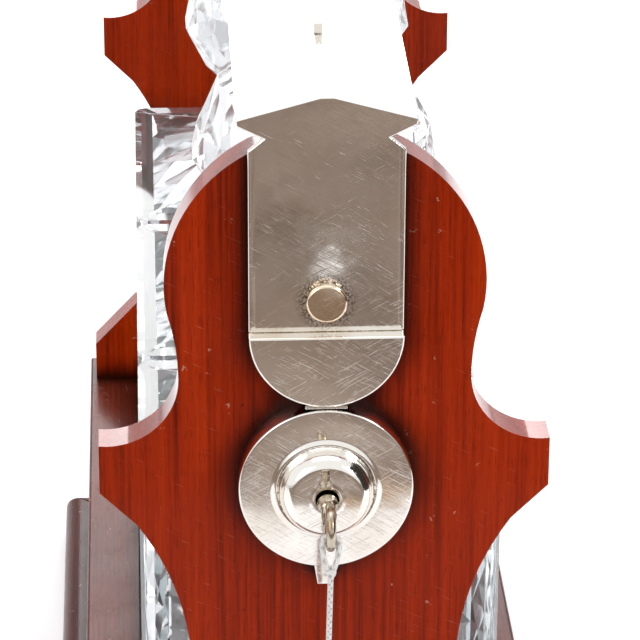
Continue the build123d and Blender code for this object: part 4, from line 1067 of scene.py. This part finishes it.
@dataclass
class KeyCord:
    """The braided cord: a loop through the bow, a knot, the hanging line and its end knot."""

    diameter: float = 1.4 * MM
    loop: tuple = ((184.6, -0.8, 179.99), (184.6, -1.7, 182.79), (184.6, -2.1, 186.6), (184.6, -1.5, 188.8),
                   (184.6, 1.5, 188.8), (184.6, 2.1, 186.6), (184.6, 1.7, 182.79), (184.6, 0.8, 179.99))
    line: tuple = ((184.6, 0.0, 178.01), (184.9, -0.5, 154.01), (184.4, -1.3, 130.01), (184.8, -1.9, 106.01),
                   (184.6, -2.1, 82.01))
    length: float = 96.0 * MM

    def build(self, finishes: Finishes) -> None:
        """Make the cord's pieces.

        Args:
            finishes: the finishes to use.
        """
        line = self.spline("key_cord_line", self.line, finishes)
        ride_and_name(line, "key_body", ["key_cord"])
        loop = self.spline("key_cord_loop", self.loop, finishes)
        ride_and_name(loop, "key_body", ["cord_loop"])
        knot = self.knot("cord_knot_wrap", Vector((184.6, 0.0, 179.0)) * MM, 0.56 * MM, finishes)
        ride_and_name(knot, "key_body", ["cord_knot"])
        end = self.knot("cord_end_wrap", Vector((184.6, -2.1, 80.9)) * MM, 0.68 * MM, finishes)
        ride_and_name(end, "key_body", ["cord_end_knot"])

    def spline(self, name: str, points: Iterable[Sequence[float]], finishes: Finishes,
               closed: bool = False) -> bpy.types.Object:
        """Make one smooth cord along control points.

        Args:
            name: the piece's name.
            points: control points, in millimetres.
            finishes: the finishes to use.
            closed: whether the line joins its own start.

        Returns:
            The curve object.
        """
        curve = bpy.data.curves.new(name, "CURVE")
        curve.dimensions = "3D"
        curve.bevel_depth = self.diameter / 2
        curve.bevel_resolution = 4
        curve.resolution_u = 16
        curve.use_fill_caps = True
        points = list(points)
        spline = curve.splines.new("NURBS")
        spline.points.add(len(points) - 1)
        for target, point in zip(spline.points, points):
            target.co = (point[0] * MM, point[1] * MM, point[2] * MM, 1.0)
        spline.order_u = 3
        if closed:
            spline.use_cyclic_u = True
        else:
            spline.use_endpoint_u = True
        curve.materials.append(finishes.cotton if name == "key_cord_line" else finishes.short_cotton)
        piece = bpy.data.objects.new(name, curve)
        bpy.context.scene.collection.objects.link(piece)
        return piece

    def knot(self, name: str, middle: Vector, size: float, finishes: Finishes) -> bpy.types.Object:
        """Make a small overhand knot of the same cord.

        Args:
            name: the piece's name.
            middle: the knot's middle.
            size: the scale of its turns.
            finishes: the finishes to use.

        Returns:
            The curve object.
        """
        points = []
        for step in range(18):
            t = step / 18 * math.tau
            across = math.sin(t) + 2 * math.sin(2 * t)
            up = math.cos(t) - 2 * math.cos(2 * t)
            out = -math.sin(3 * t)
            points.append(((middle.x + size * 0.62 * across) / MM, (middle.y + size * 0.62 * up) / MM,
                           (middle.z + size * 0.9 * out) / MM))
        return self.spline(name, points, finishes, closed=True)


# ---- the room -----------------------------------------------------------------------
@dataclass
class Studio:
    """The white floor, the soft lights, the grey-brown side of the room and the camera."""

    camera_place: tuple[float, float, float] = (0.938, -0.042, 0.595)
    pitch: float = 24.86
    yaw: float = 2.98
    roll: float = 0.22
    focal_pixels: float = 3604.0
    frame_pixels: float = 640.0
    sensor: float = 36.0
    floor_glow: float = 0.35
    sheet_end: float = 0.508      # where the white sheet stops in front of the stand
    card_lift: float = 1.5 * MM

    def build(self) -> None:
        """Make the room."""
        self.floor()
        self.cards()
        self.lights()
        self.world()
        self.camera()

    def slab(self, name: str, low: tuple[float, float], high: tuple[float, float], z: float) -> bpy.types.Object:
        """Make one level stage sheet."""
        mesh = bmesh.new()
        middle = Matrix.Translation(((low[0] + high[0]) / 2, (low[1] + high[1]) / 2, z))
        size = Matrix.Diagonal((high[0] - low[0], high[1] - low[1], 1.0, 1.0))
        bmesh.ops.create_grid(mesh, x_segments=1, y_segments=1, size=0.5, matrix=middle @ size)
        data = bpy.data.meshes.new(name)
        mesh.to_mesh(data)
        mesh.free()
        sheet = bpy.data.objects.new(name, data)
        bpy.context.scene.collection.objects.link(sheet)
        return sheet

    def floor(self) -> None:
        """Lay the white floor, which glows a little for the eye so that it reads as the white paper it is."""
        sheet = self.slab("white_floor", (-8.0, -8.0), (8.0, 8.0), 0.0)
        material, tree, output = new_material("white_paper")
        paper = add_node(tree, "BsdfDiffuse", {"Color": linear("#F1F0F2")})
        glow = add_node(tree, "Emission", {"Color": linear("#FFFFFF"), "Strength": self.floor_glow})
        path = add_node(tree, "LightPath")
        seen = add_node(tree, "Math", {}, {0: path.outputs["Is Camera Ray"], 1: path.outputs["Is Glossy Ray"]},
                        operation="MAXIMUM").outputs[0]
        seen = add_node(tree, "Math", {}, {0: seen, 1: path.outputs["Is Transmission Ray"]},
                        operation="MAXIMUM").outputs[0]
        both = add_node(tree, "AddShader", {}, {0: paper.outputs[0], 1: glow.outputs[0]})
        mixed = add_node(tree, "MixShader", {}, {0: seen, 1: paper.outputs[0], 2: both.outputs[0]})
        tree.links.new(mixed.outputs[0], output.inputs["Surface"])
        sheet.data.materials.append(material)

    def cards(self) -> None:
        """Set up what only the polished metal sees: a grey-brown room, a tan corner, a window and a doorway."""
        end, lift = self.sheet_end, self.card_lift
        self.card("room_card", ("#786960", "#A8988C"), (end, -2.0), (3.5, 2.0), lift)
        self.card("near_card", ("#8C7D74", "#C4B5AA"), (end, -0.3), (end + 0.08, 0.3), 1.5 * lift)
        self.card("tan_card", ("#B89878", "#C8A888"), (end - 0.006, 0.034), (end + 0.02, 0.075), 2 * lift)
        self.card("window_card", ("#FFFFFF", "#FFFFFF"), (0.70, 0.027), (0.73, 0.037), 2 * lift)
        doorway = self.card("doorway_card", ("#2C2926", "#45403B"), (-0.1, -0.35), (0.6, 0.45), 0.0)
        doorway.rotation_euler = (math.radians(90), 0.0, 0.0)
        doorway.location = (0.0, 0.75, 0.35)

    def card(self, name: str, colours: tuple[str, str], low: tuple[float, float], high: tuple[float, float],
             z: float) -> bpy.types.Object:
        """Make one mottled card that the camera itself doesn't see.

        Args:
            name: the card's name.
            colours: its darkest and its lightest colour.
            low: its low corner.
            high: its high corner.
            z: its height.

        Returns:
            The card.
        """
        card = self.slab(name, low, high, z)
        material, tree, output = new_material(name)
        place = add_node(tree, "TexCoord").outputs["Object"]
        cloud = add_node(tree, "TexNoise", {"Scale": 14.0, "Detail": 4.0}, {"Vector": place}).outputs["Fac"]
        shade = add_node(tree, "ValToRGB", {"stops": [(0.35, colours[0]), (0.65, colours[1])]}, {"Fac": cloud})
        light = add_node(tree, "Emission", {"Strength": 1.0}, {"Color": shade.outputs["Color"]})
        tree.links.new(light.outputs[0], output.inputs["Surface"])
        card.data.materials.append(material)
        for ray in ("camera", "diffuse", "transmission", "shadow"):
            setattr(card, f"visible_{ray}", False)
        return card

    def lights(self) -> None:
        """Hang the soft lights."""
        for name, place, aim, size, power in (
                ("overhead_softbox", (-0.3, 0.0, 1.5), (0.0, 0.0, 0.15), 1.4, 8.0),
                ("back_softbox", (-1.7, 0.0, 1.05), (0.0, 0.0, 0.25), 1.2, 22.0),
                ("key_softbox", (0.95, 1.15, 1.05), (0.15, 0.0, 0.2), 0.5, 7.5),
                ("fill_softbox", (1.2, -1.0, 0.9), (0.1, 0.0, 0.2), 0.9, 5.0)):
            light = bpy.data.lights.new(name, "AREA")
            light.shape = "SQUARE"
            light.size = size
            light.energy = power
            lamp = bpy.data.objects.new(name, light)
            lamp.location = place
            lamp.rotation_euler = (Vector(aim) - Vector(place)).to_track_quat("-Z", "Y").to_euler()
            bpy.context.scene.collection.objects.link(lamp)

    def world(self) -> None:
        """Fill the room with soft white light."""
        world = bpy.data.worlds.new("white_room")
        bpy.context.scene.world = world
        world.use_nodes = True
        tree = world.node_tree
        tree.nodes.clear()
        path = add_node(tree, "LightPath")
        seen = add_node(tree, "Math", {}, {0: path.outputs["Is Camera Ray"], 1: path.outputs["Is Glossy Ray"]},
                        operation="MAXIMUM").outputs[0]
        seen = add_node(tree, "Math", {}, {0: seen, 1: path.outputs["Is Transmission Ray"]},
                        operation="MAXIMUM").outputs[0]
        strength = add_node(tree, "MapRange", {1: 0.0, 2: 1.0, 3: 0.35, 4: 1.0}, {0: seen}).outputs[0]
        light = add_node(tree, "Background", {"Color": linear("#FFFFFF")}, {"Strength": strength})
        output = add_node(tree, "OutputWorld")
        tree.links.new(light.outputs[0], output.inputs["Surface"])

    def camera(self) -> None:
        """Set the camera at the photograph's angle."""
        data = bpy.data.cameras.new("view_camera")
        data.sensor_fit = "HORIZONTAL"
        data.sensor_width = self.sensor
        data.lens = self.focal_pixels / self.frame_pixels * self.sensor
        data.clip_start = 0.01
        data.clip_end = 50.0
        camera = bpy.data.objects.new("view_camera", data)
        pitch, yaw = math.radians(self.pitch), math.radians(self.yaw)
        ahead = Vector((-math.cos(pitch) * math.cos(yaw), math.cos(pitch) * math.sin(yaw), -math.sin(pitch)))
        turn = ahead.to_track_quat("-Z", "Y") @ Matrix.Rotation(math.radians(self.roll), 3, "Z").to_quaternion()
        camera.rotation_euler = turn.to_euler()
        camera.location = self.camera_place
        bpy.context.scene.collection.objects.link(camera)
        bpy.context.scene.camera = camera


def main() -> None:
    """Build the room and every piece."""
    logging.basicConfig(level=logging.INFO)
    bpy.context.scene.view_settings.view_transform = "Standard"
    Studio().build()
    finishes = make_finishes()
    KeyCord().build(finishes)
    Woodwork().build(finishes)
    Metalwork().build(finishes)
    LockDrum().build(finishes)
    Key().build(finishes)
    for index, centre in enumerate((94.0, 0.0, -94.0), 1):
        Decanter(index, centre * MM).build(finishes)


if __name__ == "__main__":
    main()
